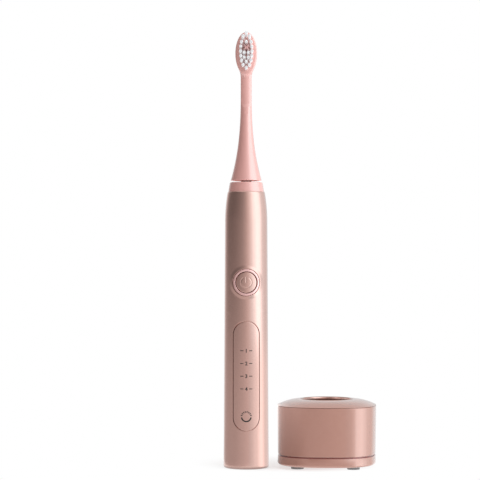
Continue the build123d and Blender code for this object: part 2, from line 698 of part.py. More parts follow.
def brush_head():
    """The head, its neck and the hollow skirt that takes the socket."""
    oval = Pos(0, HEAD_Z) * Ellipse(HEAD_HALF_WIDTH, HEAD_HALF_LENGTH)
    plate = forward(oval, -HEAD_BACK, HEAD_FRONT)
    plate = fillet(plate.edges().sort_by(Axis.Y)[-1:], HEAD_BACK_ROUND)
    plate = fillet(plate.edges().sort_by(Axis.Y)[:1], HEAD_FRONT_ROUND)
    head = head_blank() + plate
    head -= forward(tuft_plate_outline(SEAT_GAP / 2), HEAD_FRONT - TUFT_PLATE_THICK, 2 * HEAD_FRONT)
    seat_r = SOCKET_R + PRESS_GAP
    cavity_top = SOCKET_TOP - SOCKET_LENGTH / 2
    return head - turned(
        (0, SKIRT_Z),
        (SKIRT_R - SKIRT_WALL, SKIRT_Z),
        (seat_r + SEAT_GAP, cavity_top),
        (seat_r, cavity_top),
        (seat_r, SOCKET_TOP),
        (0, SOCKET_TOP),
    )


def tuft_plate_outline(margin):
    """The oval of the slice of backing that the tufts stand on."""
    grow = TUFT_PLATE_MARGIN + margin
    return Pos(0, HEAD_Z) * Ellipse(TUFT_RING_X + grow, TUFT_RING_Z + grow)


def strand(x, z, turn, length):
    """One straight four-sided strand, rooted in the backing."""
    root = HEAD_FRONT - STRAND_ROOT
    square = Pos(x, HEAD_Z + z) * Rot(0, 0, turn) * Rectangle(STRAND_SIDE, STRAND_SIDE)
    return forward(square, root, HEAD_FRONT + length)


def tuft(x, z, length):
    """One round tuft: rings of strands about its centre."""
    strands = []
    for ring_r, count in STRAND_RINGS:
        for step in range(count):
            turn = 360 * step / count
            along = radians(turn)
            strands.append(strand(x + ring_r * cos(along), z + ring_r * sin(along), turn, length))
    return strands


def bristle_tufts():
    """The outer ring of tufts, evenly spaced along an oval, and the inner tufts."""
    plate = forward(tuft_plate_outline(0), HEAD_FRONT - TUFT_PLATE_THICK, HEAD_FRONT)
    cross_hole = Pos(0, HEAD_Z + CROSS_Z) * Circle(CROSS_PLATE_R + SEAT_GAP / 2)
    plate -= forward(cross_hole, HEAD_FRONT - TUFT_PLATE_THICK, HEAD_FRONT)
    oval = Ellipse(TUFT_RING_X, TUFT_RING_Z).edge()
    strands = []
    for step in range(TUFT_RING_COUNT):
        spot = oval.position_at(step / TUFT_RING_COUNT + 0.25)
        strands += tuft(spot.X, spot.Y, BRISTLE_LENGTH)
    for x, z in INNER_TUFTS:
        strands += tuft(x, z, INNER_BRISTLE_LENGTH)
    return plate + strands


def cross_tuft():
    """The cross-shaped tuft: four arms of two rows of strands, on its own round backing."""
    centre = Pos(0, HEAD_Z + CROSS_Z)
    plate = forward(centre * Circle(CROSS_PLATE_R), HEAD_FRONT - TUFT_PLATE_THICK, HEAD_FRONT)
    strands = []
    for arm in range(4):
        turn = 45 + 90 * arm
        for step in range(CROSS_ARM_STRANDS):
            for side in (-0.5, 0.5):
                along = Vector((step + 1.5) * CROSS_PITCH, side * CROSS_PITCH).rotate(Axis.Z, turn)
                strands.append(strand(along.X, CROSS_Z + along.Y, turn, INNER_BRISTLE_LENGTH))
    return plate + strands


def bottom_cap():
    """The plug that closes the handle's foot, with its seal groove."""
    plug_r = BORE_R - SEAT_GAP
    return rod(plug_r, 0, CAP_LENGTH) - seal_groove(plug_r, CAP_LENGTH / 2)


def receiving_coil():
    """The spool on the cap, the winding on it as one ring, and the core through it."""
    low = CAP_LENGTH
    high = CAP_LENGTH + BOBBIN_LENGTH
    inner = FERRITE_R + SEAT_GAP
    hub = inner + BOBBIN_WALL
    spool = tube(hub, inner, low, high)
    spool += tube(BOBBIN_FLANGE_R, inner, low, low + BOBBIN_FLANGE)
    spool += tube(BOBBIN_FLANGE_R, inner, high - BOBBIN_FLANGE, high)
    wound_low = low + BOBBIN_FLANGE + SEAT_GAP
    wound_high = high - BOBBIN_FLANGE - SEAT_GAP
    winding = tube(BOBBIN_FLANGE_R - COIL_INSET, hub + PRESS_GAP, wound_low, wound_high)
    return spool, winding, rod(FERRITE_R, CAP_LENGTH, high)


def eight_arcs(side_centre, side_r, corner_centre, corner_r):
    """A closed outline of four side arcs and four corner arcs, tangent to each other."""
    arcs = []
    for quarter in range(4):
        facing = radians(90 * quarter)
        side_spot = (-side_centre * cos(facing), -side_centre * sin(facing))
        arcs.append(CenterArc(side_spot, side_r, 90 * quarter - SIDE_ANGLE, 2 * SIDE_ANGLE))
        diagonal = radians(90 * quarter + 45)
        reach = corner_centre * sqrt(2)
        corner_spot = (reach * cos(diagonal), reach * sin(diagonal))
        arcs.append(CenterArc(corner_spot, corner_r, 90 * quarter + SIDE_ANGLE, 90 - 2 * SIDE_ANGLE))
    return make_face(arcs)


def charger_outline(inset):
    """The charger's rounded-square outline, drawn in from its widest line."""
    return eight_arcs(SIDE_REACH, CHARGER_SIDE_R - inset, CORNER_CENTRE, CHARGER_CORNER_R - inset)


def charger_block(low_inset, low, high_inset, high):
    """A solid between two heights of the charger's outline, each drawn in by its own inset."""
    sections = [Pos(0, 0, low) * charger_outline(low_inset), Pos(0, 0, high) * charger_outline(high_inset)]
    return loft(sections, ruled=True)


def dome(low_inset, low, top_r, high):
    """A crowned solid that rises from the charger's outline to a circle, level at the circle."""
    sections = []
    for stage in range(LID_STAGES + 1):
        share = stage / LID_STAGES
        side_r = (1 - share) * (CHARGER_SIDE_R - low_inset) + share * top_r
        corner_r = (1 - share) * (CHARGER_CORNER_R - low_inset) + share * top_r
        section = eight_arcs((1 - share) * SIDE_REACH, side_r, (1 - share) * CORNER_CENTRE, corner_r)
        sections.append(Pos(0, 0, high - (high - low) * (1 - share) ** 2) * section)
    return loft(sections, ruled=True)


def screw_spots():
    """Places of the four screws, two along each side."""
    return [Pos(x * SCREW_X, y * SCREW_SPREAD, 0) for x in (-1, 1) for y in (-1, 1)]


def inlet_outline(grow):
    """The inlet's round-ended outline in the front view."""
    return Pos(0, INLET_Z) * SlotOverall(INLET_WIDTH + 2 * grow, INLET_HEIGHT + 2 * grow)


def charger_wall():
    """The upright wall, with its screw bosses and the inlet's hole at the back."""
    inside = charger_block(WALL_TAPER + WALL_THICK, WALL_LOW, WALL_THICK, CREASE_Z)
    outside = charger_block(WALL_TAPER, WALL_LOW, 0, CREASE_Z)
    wall = outside - inside
    for spot in screw_spots():
        boss = spot * rod(SCREW_BOSS_R, BOSS_LOW, BOSS_LOW + SCREW_BOSS_LENGTH) & outside
        wall += boss
        wall -= spot * rod(SCREW_R + PRESS_GAP, WALL_LOW, SCREW_SEAT_Z + SCREW_LENGTH + STACK_GAP)
    return wall - forward(inlet_outline(INLET_CLEAR), -2 * CHARGER_HALF, -INLET_MOUTH_Y + INLET_SET_IN)


def charger_lid():
    """The shallow dome over the wall, with the well's hole and a spigot inside the wall."""
    lid = dome(LID_STEP, CREASE_Z, LAND_R, LAND_Z)
    rim = WALL_THICK + STACK_GAP
    spigot_inner = rim + LID_SPIGOT_WALL
    lid -= dome(spigot_inner, CREASE_Z, LAND_R, LAND_Z - LID_THICK)
    spigot = charger_block(rim, CREASE_Z - LID_SPIGOT, rim, CREASE_Z)
    lid += spigot - charger_block(spigot_inner, CREASE_Z - LID_SPIGOT, spigot_inner, CREASE_Z)
    return lid - rod(CUP_R + SEAT_GAP, CREASE_Z - LID_SPIGOT, RIM_Z)


def well_cup():
    """The cup that takes the handle's foot, with a lip on the lid's land."""
    lip_r = WELL_R + LIP_WIDTH
    cup = turned(
        (0, CUP_LOW),
        (CUP_R, CUP_LOW),
        (CUP_R, LAND_Z),
        (lip_r, LAND_Z),
        (lip_r, RIM_Z),
        (WELL_R, RIM_Z),
        (WELL_R, RIM_Z - WELL_DEPTH),
        (0, RIM_Z - WELL_DEPTH),
    )
    return fillet(cup.edges().group_by(Axis.Z)[-1], LIP_ROUND)


def charger_base():
    """The base plate, with its ledge and spigot under the wall, and the posts on its floor."""
    base = charger_block(WALL_TAPER - BASE_FLARE, FOOT_HEIGHT, WALL_TAPER, BASE_TOP)
    base = fillet(base.edges().group_by(Axis.Z)[0], BASE_ROUND)
    ledge = WALL_TAPER + SEAM_DEPTH
    base += charger_block(ledge, BASE_TOP, ledge, WALL_LOW)
    spigot_top = WALL_LOW + BASE_SPIGOT
    base += charger_block(BASE_RIM, WALL_LOW, BASE_RIM, spigot_top)
    hollow = BASE_RIM + BASE_SPIGOT_WALL
    base -= charger_block(hollow, BASE_INNER_Z, hollow, spigot_top)
    within = charger_block(BASE_RIM, FOOT_HEIGHT, BASE_RIM, spigot_top)
    for spot in post_spots():
        base += spot * rod(STAND_POST_R, BASE_INNER_Z, PLATE_Z)
    for spot in board_post_spots():
        base += spot * rod(BOARD_POST_R, BASE_INNER_Z, CHARGER_BOARD_Z)
    for spot in screw_spots():
        base += spot * rod(SCREW_BOSS_R, BASE_INNER_Z, spigot_top) & within
        base -= spot * rod(SCREW_R + SEAT_GAP, FOOT_HEIGHT, spigot_top)
        base -= spot * rod(SCREW_HEAD_R + SEAT_GAP, FOOT_HEIGHT, SCREW_SEAT_Z)
    for spot in rubber_spots():
        base -= spot * rod(RUBBER_R + SEAT_GAP, FOOT_HEIGHT, FOOT_HEIGHT + RUBBER_SINK)
    return base


def post_spots():
    """Places of the posts under the ferrite plate: front, left and right."""
    ring_r = SPOOL_FLANGE_R - STAND_POST_R
    angles = [180 + 90 * step for step in range(POST_COUNT)]
    return [Pos(ring_r * cos(radians(a)), ring_r * sin(radians(a)), 0) for a in angles]


def board_post_spots():
    """Places of the posts under the charger's board."""
    x = CHARGER_BOARD_WIDTH / 2 - BOARD_POST_INSET
    back = BOARD_EDGE_Y - BOARD_POST_INSET
    front = BOARD_EDGE_Y - CHARGER_BOARD_DEPTH + BOARD_POST_INSET
    return [Pos(side * x, y, 0) for side in (-1, 1) for y in (front, back)]


def rubber_spots():
    """Places of the four rubber feet."""
    return [Pos(x * RUBBER_SPREAD, y * RUBBER_SPREAD, 0) for x in (-1, 1) for y in (-1, 1)]


def charger_feet():
    """The four rubber feet."""
    return [spot * rod(RUBBER_R, 0, FOOT_HEIGHT + RUBBER_SINK) for spot in rubber_spots()]


def base_screws():
    """The four screws that hold the base to the wall's bosses."""
    screw = rod(SCREW_HEAD_R, FOOT_HEIGHT, SCREW_SEAT_Z)
    screw += rod(SCREW_R, SCREW_SEAT_Z, SCREW_SEAT_Z + SCREW_LENGTH)
    return [spot * screw for spot in screw_spots()]


def sending_coil():
    """The spool round the well, the winding on it as one ring, and the ferrite plate under it."""
    low = CUP_LOW
    high = low + SPOOL_LENGTH
    inner = CUP_R + SEAT_GAP
    spool = tube(SPOOL_R, inner, low, high)
    spool += tube(SPOOL_FLANGE_R, inner, low, low + SPOOL_FLANGE)
    spool += tube(SPOOL_FLANGE_R, inner, high - SPOOL_FLANGE, high)
    wound_low = low + SPOOL_FLANGE + SEAT_GAP
    wound_high = high - SPOOL_FLANGE - SEAT_GAP
    winding = tube(SPOOL_FLANGE_R - COIL_INSET, SPOOL_R + PRESS_GAP, wound_low, wound_high)
    return spool, winding, rod(SPOOL_FLANGE_R, PLATE_Z, PLATE_Z + PLATE_THICK)


def charger_board():
    """The charger's circuit board, on its posts behind the coil."""
    middle = BOARD_EDGE_Y - CHARGER_BOARD_DEPTH / 2
    outline = Pos(0, middle, CHARGER_BOARD_Z) * Rectangle(CHARGER_BOARD_WIDTH, CHARGER_BOARD_DEPTH)
    return extrude(outline, CHARGER_BOARD_THICK)


def charger_components():
    """A driver chip and a capacitor on each side of the inlet."""
    z = CHARGER_BOARD_Z + CHARGER_BOARD_THICK
    middle = BOARD_EDGE_Y - CHARGER_BOARD_DEPTH / 2
    side = (CHARGER_BOARD_WIDTH / 2 + INLET_WIDTH / 2) / 2
    chip = extrude(Pos(-side, middle, z) * Rectangle(CHIP_SIDE, CHIP_SIDE), CHIP_HEIGHT)
    capacitor = Pos(side, middle, 0) * rod(CHIP_SIDE / 2, z, z + COMPONENT_HEIGHT)
    return [chip, capacitor]


def inlet_shell():
    """The inlet's metal shell, open at the back of the charger."""
    rear = INLET_MOUTH_Y - INLET_DEPTH
    shell = forward(inlet_outline(0), -INLET_MOUTH_Y, -rear)
    return shell - forward(inlet_outline(-INLET_WALL), -INLET_MOUTH_Y, -rear - INLET_WALL)


def inlet_tongue():
    """The contact tongue inside the inlet's shell."""
    rear = INLET_MOUTH_Y - INLET_DEPTH + INLET_WALL
    return slab(TONGUE_WIDTH, TONGUE_THICK, INLET_Z, -rear - TONGUE_LENGTH, -rear)


def brush_pieces():
    """Every piece of the toothbrush, about the brush's own axis."""
    stator_coil, stator_yokes = stator()
    coil_bobbin, charge_coil, ferrite_core = receiving_coil()
    return {
        "brush_head": brush_head(),
        "bristle_tufts": bristle_tufts(),
        "cross_tuft": cross_tuft(),
        "head_socket": head_socket(),
        "socket_clip": socket_clip(),
        "drive_shaft": drive_shaft(),
        "rotor_core": tube(ROTOR_R, JOURNAL_R + PRESS_GAP, ROTOR_Z, ROTOR_Z + ROTOR_LENGTH),
        "rotor_magnets": rotor_magnets(),
        "power_button": power_button(),
        "switch_plunger": switch_plunger(),
        "handle_shell": handle_shell(),
        "neck_collar": neck_collar(),
        "collar_seal": seal_ring(SPIGOT_R - SEAL_WIRE_R, HANDLE_LENGTH - SPIGOT_LENGTH / 2),
        "shaft_boot": shaft_boot(),
        "button_bezel": button_bezel(),
        "button_seal": button_seal(),
        "mode_panel": mode_panel(),
        "light_pipes": light_pipes(),
        "mode_leds": mode_leds(),
        "chassis": chassis(),
        "main_board": main_board(),
        "board_screws": board_screws(),
        "board_chips": board_chips(),
        "tact_switch": tact_switch(),
        "battery": battery(),
        "battery_tabs": battery_tabs(),
        "motor_case": motor_case(),
        "motor_end_plate": motor_end_plate(),
        "front_bush": bush(MOTOR_TOP - BUSH_LENGTH),
        "rear_bush": bush(MOTOR_Z + MOTOR_END - BUSH_LENGTH),
        "stator_coil": stator_coil,
        "stator_yokes": stator_yokes,
        "motor_damper": motor_damper(),
        "bottom_cap": bottom_cap(),
        "cap_seal": seal_ring(BORE_R - SEAT_GAP - SEAL_WIRE_R, CAP_LENGTH / 2),
        "coil_bobbin": coil_bobbin,
        "charge_coil": charge_coil,
        "ferrite_core": ferrite_core,
    }


def charger_pieces():
    """Every piece of the charging base, about the charger's own axis."""
    sending_spool, sending_winding, ferrite_plate = sending_coil()
    return {
        "charger_wall": charger_wall(),
        "charger_lid": charger_lid(),
        "well_cup": well_cup(),
        "charger_base": charger_base(),
        "charger_feet": charger_feet(),
        "base_screws": base_screws(),
        "sending_spool": sending_spool,
        "sending_coil": sending_winding,
        "ferrite_plate": ferrite_plate,
        "charger_board": charger_board(),
        "charger_components": charger_components(),
        "inlet_shell": inlet_shell(),
        "inlet_tongue": inlet_tongue(),
    }


def write(pieces, place):
    """Put each piece in its place and write it, with a list of like pieces as one group."""
    for name, piece in pieces.items():
        solids = piece if isinstance(piece, list) else [piece]
        placed = Compound([solid for item in solids for solid in (place * item).solids()])
        export_step(placed, f"parts/{name}.step")


os.makedirs("parts", exist_ok=True)
write(brush_pieces(), BRUSH_PLACE)
write(charger_pieces(), CHARGER_PLACE)
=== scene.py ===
# %% [markdown]
# # An electric toothbrush beside its charging base
# This file dresses the measured model of a slim toothbrush and the base that charges it. The measured
# solids come in as a fixed frame, so every new piece only has to be drawn where the real one is.
# Sizes below are in millimetres until the moment a mesh is made, because that is how a maker thinks
# about a handle 25 mm thick.

# %% Load the measured frame
import math

import bmesh
import bpy
import numpy as np
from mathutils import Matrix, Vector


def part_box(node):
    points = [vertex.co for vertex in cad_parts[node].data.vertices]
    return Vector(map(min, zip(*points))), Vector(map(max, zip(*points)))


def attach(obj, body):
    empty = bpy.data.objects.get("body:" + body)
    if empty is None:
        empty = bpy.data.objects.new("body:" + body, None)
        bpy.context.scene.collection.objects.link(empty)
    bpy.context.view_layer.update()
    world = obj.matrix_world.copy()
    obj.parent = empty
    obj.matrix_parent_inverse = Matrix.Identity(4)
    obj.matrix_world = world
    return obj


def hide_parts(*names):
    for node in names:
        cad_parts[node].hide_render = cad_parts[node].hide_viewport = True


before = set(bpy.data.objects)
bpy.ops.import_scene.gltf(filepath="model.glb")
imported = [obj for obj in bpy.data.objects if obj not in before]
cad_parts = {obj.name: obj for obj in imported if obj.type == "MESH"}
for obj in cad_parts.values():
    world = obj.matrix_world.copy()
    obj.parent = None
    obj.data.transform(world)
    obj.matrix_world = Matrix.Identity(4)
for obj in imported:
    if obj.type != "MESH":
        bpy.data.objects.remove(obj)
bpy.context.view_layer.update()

# %% [markdown]
# ## Where the two things stand
# The brush and the charger are each drawn about their own upright axis, then moved. Reading the axes
# from the frame keeps the new pieces on the measured ones without any fitting by eye. The charger is
# also turned a little about its axis, as in the photograph.

# %% Axes of the brush and the charger
CHARGER_TURN = math.radians(-5.5)


def axis_of(node):
    """The middle of a node's box in plan, in millimetres, at height zero."""
    low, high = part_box(node)
    return np.array([(low[0] + high[0]) * 500, (low[1] + high[1]) * 500, 0.0])


BRUSH = axis_of("handle_shell")
CHARGER = axis_of("charger_wall")


def by_brush(points):
    """Moves points drawn about the brush's axis to their place."""
    return points + BRUSH


def by_charger(points):
    """Turns points drawn about the charger's axis by its angle, then moves them to their place."""
    x, y, z = np.moveaxis(points, -1, 0)
    cos, sin = math.cos(CHARGER_TURN), math.sin(CHARGER_TURN)
    return np.stack((x * cos - y * sin, x * sin + y * cos, z), -1) + CHARGER


print("brush axis", BRUSH.round(2), "charger axis", CHARGER.round(2))

# %% [markdown]
# ## The camera
# The photograph looks straight at the pair from about a metre away, with a long lens, from half the
# brush's height. Seen from there the charger's top shows and the brush head is seen slightly from
# below. The focal length and place below were worked out from those two views.

# %% Camera


def add_object(name, data):
    """Puts new data into the scene as an object at the origin, unturned."""
    thing = bpy.data.objects.new(name, data)
    bpy.context.scene.collection.objects.link(thing)
    return thing


lens = bpy.data.cameras.new("camera")
lens.lens = 138.75
lens.sensor_width = 36.0
camera = add_object("camera", lens)
camera.location = (-0.03362, -1.039, 0.11215)
camera.rotation_euler = (math.radians(90.805), 0.0, 0.0)
bpy.context.scene.camera = camera
print("camera", tuple(round(c, 4) for c in camera.location))

# %% [markdown]
# ## Light
# The pair stands in a white studio. The world is plain white at strength one, which the camera sees
# behind the object and the metal mirrors too, so the background needs no trick. What gives satin
# metal its form is a screen round the pair, and that is put up at the end, beside the floor.

# %% White world
world = bpy.data.worlds.new("white_studio")
world.use_nodes = True
background = world.node_tree.nodes["Background"].inputs
background["Color"].default_value = (1, 1, 1, 1)
background["Strength"].default_value = 1.0
bpy.context.scene.world = world
print("world", world.name)

# %% [markdown]
# ## Lamp
# A world alone gives flat shadows. A large soft lamp on the right, high and in front, gives the pair
# its direction and the faint shadow on the floor. It is kept out of reflections, which the screen
# gives. Two more lamps for single pieces come at the end, when the pieces are there.

# %% Lamp


def soft_lamp(name, place, aim, width, height, watts):
    """A flat lamp at a place, facing another place, both in metres."""
    lamp = bpy.data.lights.new(name, "AREA")
    lamp.shape = "RECTANGLE"
    lamp.size, lamp.size_y = width, height
    lamp.energy = watts
    thing = add_object(name, lamp)
    thing.location = place
    way = np.array(aim) - np.array(place)
    tilt = math.atan2(math.hypot(way[0], way[1]), -way[2])
    thing.rotation_euler = (tilt, 0.0, math.atan2(way[1], way[0]) - math.pi / 2)
    return thing


window_lamp = soft_lamp(
    "window_lamp", place=(0.75, -0.6, 0.8), aim=(0.0, 0.0, 0.1), width=0.7, height=0.7, watts=3.0)
window_lamp.visible_glossy = False

# %% [markdown]
# ## Finishes
# Each finish is a small node recipe: a noise pattern in the piece's own space mixes two close
# colours, another sets how rough the surface is, and a fine one raises a bump. Two tones a few
# percent apart are enough to keep a surface from looking like flat paint. Numbers that are the same
# all over, such as how metallic a finish is, sit straight on the shader.

# %% Shader nodes


def link(tree, source, target):
    """Joins one node socket to another."""
    tree.links.new(source, target)


def own_coords(tree):
    """A piece's own coordinates in metres, as a socket."""
    return tree.nodes.new("ShaderNodeTexCoord").outputs["Object"]


def ramp_node(tree, factor, stops):
    """A colour ramp over (place, grey or colour) stops; returns its colour."""
    node = tree.nodes.new("ShaderNodeValToRGB")
    ramp = node.color_ramp
    ramp.interpolation = "EASE"
    while len(ramp.elements) < len(stops):
        ramp.elements.new(0.5)
    for element, (place, tone) in zip(ramp.elements, stops):
        element.position = place
        element.color = (tone, tone, tone, 1.0) if isinstance(tone, float) else (*tone, 1.0)
    link(tree, factor, node.inputs[0])
    return node.outputs[0]


def noise_node(tree, coords, grain, detail=3.0):
    """A noise pattern with so many grains to the metre; returns its value."""
    node = tree.nodes.new("ShaderNodeTexNoise")
    node.inputs["Scale"].default_value = grain
    node.inputs["Detail"].default_value = detail
    link(tree, coords, node.inputs["Vector"])
    return node.outputs[0]


def spread_node(tree, value, low, high, new_low, new_high):
    """Stretches a value from one range to another; returns the result."""
    node = tree.nodes.new("ShaderNodeMapRange")
    for slot, number in zip(node.inputs[1:5], (low, high, new_low, new_high)):
        slot.default_value = number
    link(tree, value, node.inputs[0])
    return node.outputs[0]


# %% Finish recipe
NOISE_RANGE, BUMP_DEPTH = (0.3, 0.7), 0.0001


def finish(name, deep, pale, grain, rough, bump=0.0, bump_grain=4000.0, stretch=(1, 1, 1), **sockets):
    """A procedural finish: noise mixes two colours, a second noise moves the roughness between two
    values, and a third, finer one raises a bump. Other shader sockets are set by name."""
    material = bpy.data.materials.new(name)
    material.use_nodes = True
    tree = material.node_tree
    shader = tree.nodes["Principled BSDF"]
    space = tree.nodes.new("ShaderNodeMapping")
    space.inputs["Scale"].default_value = stretch
    link(tree, own_coords(tree), space.inputs[0])
    coords = space.outputs[0]
    mottle = spread_node(tree, noise_node(tree, coords, grain), *NOISE_RANGE, 0.0, 1.0)
    link(tree, ramp_node(tree, mottle, [(0.0, deep), (1.0, pale)]), shader.inputs["Base Color"])
    wear = spread_node(tree, noise_node(tree, coords, grain * 1.7), *NOISE_RANGE, *rough)
    link(tree, wear, shader.inputs["Roughness"])
    if bump:
        relief = tree.nodes.new("ShaderNodeBump")
        relief.inputs["Strength"].default_value = bump
        relief.inputs["Distance"].default_value = BUMP_DEPTH
        link(tree, noise_node(tree, coords, bump_grain, 2.0), relief.inputs["Height"])
        link(tree, relief.outputs[0], shader.inputs["Normal"])
    for socket, value in sockets.items():
        shader.inputs[socket.replace("_", " ")].default_value = value
    return material


# %% [markdown]
# ## The finishes of this object
# The handle's paint is rose metal under a clear satin coat. The charger's is nearer to a lacquer:
# less metal, more colour and a shinier coat. The head and collar are moulded in glossy pink plastic,
# the button's ring and the well are polished, and the boot and the feet are rubber. Inside, where
# only an opened model shows them, are steel, copper, ferrite and circuit board.

# %% Outer finishes
rose_handle = finish(
    "rose_metallic_handle", (0.715, 0.452, 0.392), (0.725, 0.460, 0.400), 300, (0.22, 0.24),
    bump=0.002, bump_grain=6000, Metallic=1.0, Coat_Weight=1.0, Coat_Roughness=0.15, Coat_IOR=1.6)
rose_charger = finish(
    "rose_metallic_charger", (0.495, 0.228, 0.168), (0.505, 0.235, 0.174), 300, (0.24, 0.26),
    bump=0.002, bump_grain=6000, Metallic=0.3, Coat_Weight=1.0, Coat_Roughness=0.08, Coat_IOR=1.95)
rose_ring = finish(
    "rose_polished_ring", (0.86, 0.54, 0.515), (0.88, 0.555, 0.53), 300, (0.20, 0.23), Metallic=0.45)
rose_well = finish(
    "rose_polished_well", (0.76, 0.53, 0.47), (0.78, 0.55, 0.49), 300, (0.12, 0.15), Metallic=1.0)
pink_gloss = finish(
    "pink_gloss", (0.777, 0.393, 0.355), (0.789, 0.400, 0.362), 300, (0.22, 0.25),
    Coat_Weight=1.0, Coat_Roughness=0.18, Coat_IOR=1.9)
head_gloss = pink_gloss.copy()
head_gloss.name = "pink_gloss_head"
# The white nylon glows a little: painted light that lifts the shade between the strands.
white_nylon = finish(
    "white_nylon", (0.93, 0.94, 0.95), (0.97, 0.97, 0.98), 1500, (0.30, 0.42),
    Emission_Color=(0.96, 0.98, 1.0, 1.0), Emission_Strength=0.08)
pink_nylon = finish(
    "pink_nylon", (0.86, 0.54, 0.52), (0.93, 0.63, 0.61), 1500, (0.30, 0.42))
dark_rubber = finish(
    "dark_rubber", (0.035, 0.030, 0.030), (0.055, 0.048, 0.046), 1200, (0.6, 0.75), bump=0.15)
# Painted light: the boot's rubber is made lighter than dark rubber to show in the shade of the gap.
boot_rubber = finish(
    "boot_rubber", (0.50, 0.42, 0.40), (0.56, 0.48, 0.46), 1200, (0.6, 0.75), bump=0.15)
grey_rubber = finish(
    "grey_rubber", (0.22, 0.215, 0.215), (0.26, 0.255, 0.255), 1200, (0.6, 0.75), bump=0.15)
dark_print = finish(
    "dark_print", (0.022, 0.019, 0.018), (0.030, 0.026, 0.025), 2500, (0.5, 0.6))
print("outer finishes", len(bpy.data.materials))

# %% [markdown]
# ## Painted shade by height
# The charger's two seams are painted dark here: painted shade in the narrow gaps. The handle's foot is
# painted darker too, as painted shade where the table takes the light from its rounded edge, and so
# are the edge of the well's lip and a line below it. The recipe of each finish gets one more step for
# that: its colour is multiplied by a ramp over the height.

# %% Ramps over the height


def multiply_node(tree, colour, other):
    """The product of two colours."""
    node = tree.nodes.new("ShaderNodeMix")
    node.data_type = "RGBA"
    node.blend_type = "MULTIPLY"
    node.inputs[0].default_value = 1.0
    link(tree, colour, node.inputs[6])
    link(tree, other, node.inputs[7])
    return node.outputs[2]


def own_place(tree):
    """A piece's own x, y and z in metres, as three sockets."""
    node = tree.nodes.new("ShaderNodeSeparateXYZ")
    link(tree, own_coords(tree), node.inputs[0])
    return node.outputs


def repaint(material, share, stops):
    """Multiplies a finish's colour by a ramp over a value between 0 and 1."""
    tree = material.node_tree
    colour = tree.nodes["Principled BSDF"].inputs["Base Color"]
    paint = colour.links[0].from_socket
    link(tree, multiply_node(tree, paint, ramp_node(tree, share, stops)), colour)


def tone_by_height(material, stops):
    """Paints shade into a finish: multiplies its colour by a ramp over the height, given as pairs of a
    height in millimetres and a grey or a colour."""
    tree = material.node_tree
    low, high = stops[0][0], stops[-1][0]
    share = spread_node(tree, own_place(tree)[2], low * 0.001, high * 0.001, 0.0, 1.0)
    repaint(material, share, [((z - low) / (high - low), tone) for z, tone in stops])


# %% Painted shade in seams, foot and well
# Painted shade: the lower seam and the crease under the lid are darkened in the charger's colour.
LOWER_SEAM_SHADE, UPPER_SEAM_SHADE = (0.60, 0.12, 0.08), (0.45, 0.32, 0.30)
tone_by_height(rose_charger, (
    (6.57, 1.0), (6.62, LOWER_SEAM_SHADE), (7.42, LOWER_SEAM_SHADE), (7.47, 1.0),
    (34.15, 1.0), (34.20, UPPER_SEAM_SHADE), (34.42, UPPER_SEAM_SHADE), (34.47, 1.0)))
# Painted shade on the handle's foot, where the table takes the light from its rounded edge.
tone_by_height(rose_handle, ((0.0, 0.50), (0.8, 0.55), (1.8, 1.0)))
# Painted shade on a line inside the well and on the edge of its lip.
WELL_SHADE_LINE, LIP_EDGE_SHADE = (0.24, 0.14, 0.12), (0.55, 0.42, 0.38)
tone_by_height(rose_well, (
    (35.60, 1.0), (36.0, WELL_SHADE_LINE), (36.65, WELL_SHADE_LINE), (36.95, 1.0), (37.40, 1.0),
    (37.75, LIP_EDGE_SHADE), (38.0, LIP_EDGE_SHADE)))
print("toned", rose_charger.name, rose_handle.name, rose_well.name)

# %% [markdown]
# ## Inner finishes
# The pieces inside need no fine tuning, so their recipes are rows of one table: two colours, the
# grain of the noise, the two ends of the roughness, and whatever else the shader needs.

# %% Inner finishes
INNER_RECIPES = {
    "steel": ((0.50, 0.50, 0.50), (0.60, 0.60, 0.61), 700, (0.25, 0.38),
              {"bump": 0.05, "stretch": (1, 1, 0.1), "Metallic": 1.0}),
    "magnet": ((0.40, 0.40, 0.42), (0.50, 0.50, 0.52), 900, (0.30, 0.45), {"Metallic": 1.0}),
    "bronze": ((0.42, 0.27, 0.13), (0.52, 0.35, 0.18), 2500, (0.40, 0.55),
               {"bump": 0.2, "Metallic": 1.0}),
    "copper": ((0.55, 0.22, 0.11), (0.68, 0.32, 0.18), 900, (0.22, 0.34),
               {"bump": 0.6, "bump_grain": 3500, "stretch": (0.05, 0.05, 1), "Metallic": 1.0}),
    "ferrite": ((0.045, 0.045, 0.048), (0.07, 0.07, 0.075), 1800, (0.55, 0.7), {"bump": 0.3}),
    "white_plastic": ((0.70, 0.69, 0.67), (0.76, 0.75, 0.73), 600, (0.40, 0.5), {"bump": 0.06}),
    "clear_plastic": ((0.84, 0.86, 0.88), (0.92, 0.93, 0.94), 600, (0.08, 0.14),
                      {"Transmission_Weight": 0.7, "IOR": 1.49}),
    "board_green": ((0.020, 0.11, 0.050), (0.028, 0.14, 0.065), 1500, (0.30, 0.42),
                    {"bump": 0.12, "bump_grain": 2500}),
    "chip_black": ((0.018, 0.018, 0.019), (0.03, 0.03, 0.031), 2500, (0.45, 0.6), {"bump": 0.12}),
    "cell_wrap": ((0.08, 0.17, 0.30), (0.10, 0.20, 0.34), 700, (0.28, 0.40), {"bump": 0.04}),
}
slot_finish = {
    "rose_metallic": rose_charger,
    "rose_bright": rose_ring,
    "pink_gloss": pink_gloss,
    "white_nylon": white_nylon,
    "pink_nylon": pink_nylon,
    "dark_rubber": dark_rubber,
}
for name, (deep, pale, grain, rough, more) in INNER_RECIPES.items():
    slot_finish[name] = finish(name, deep, pale, grain, rough, **more)
print("finishes", len(bpy.data.materials))

# %% [markdown]
# ## Dressing the measured nodes
# Most measured solids are already the right shape, such as the motor, the cell and the screws. Each
# keeps its mesh and gets the finish that its slot names. Pieces that are drawn again below take their
# own finish later.

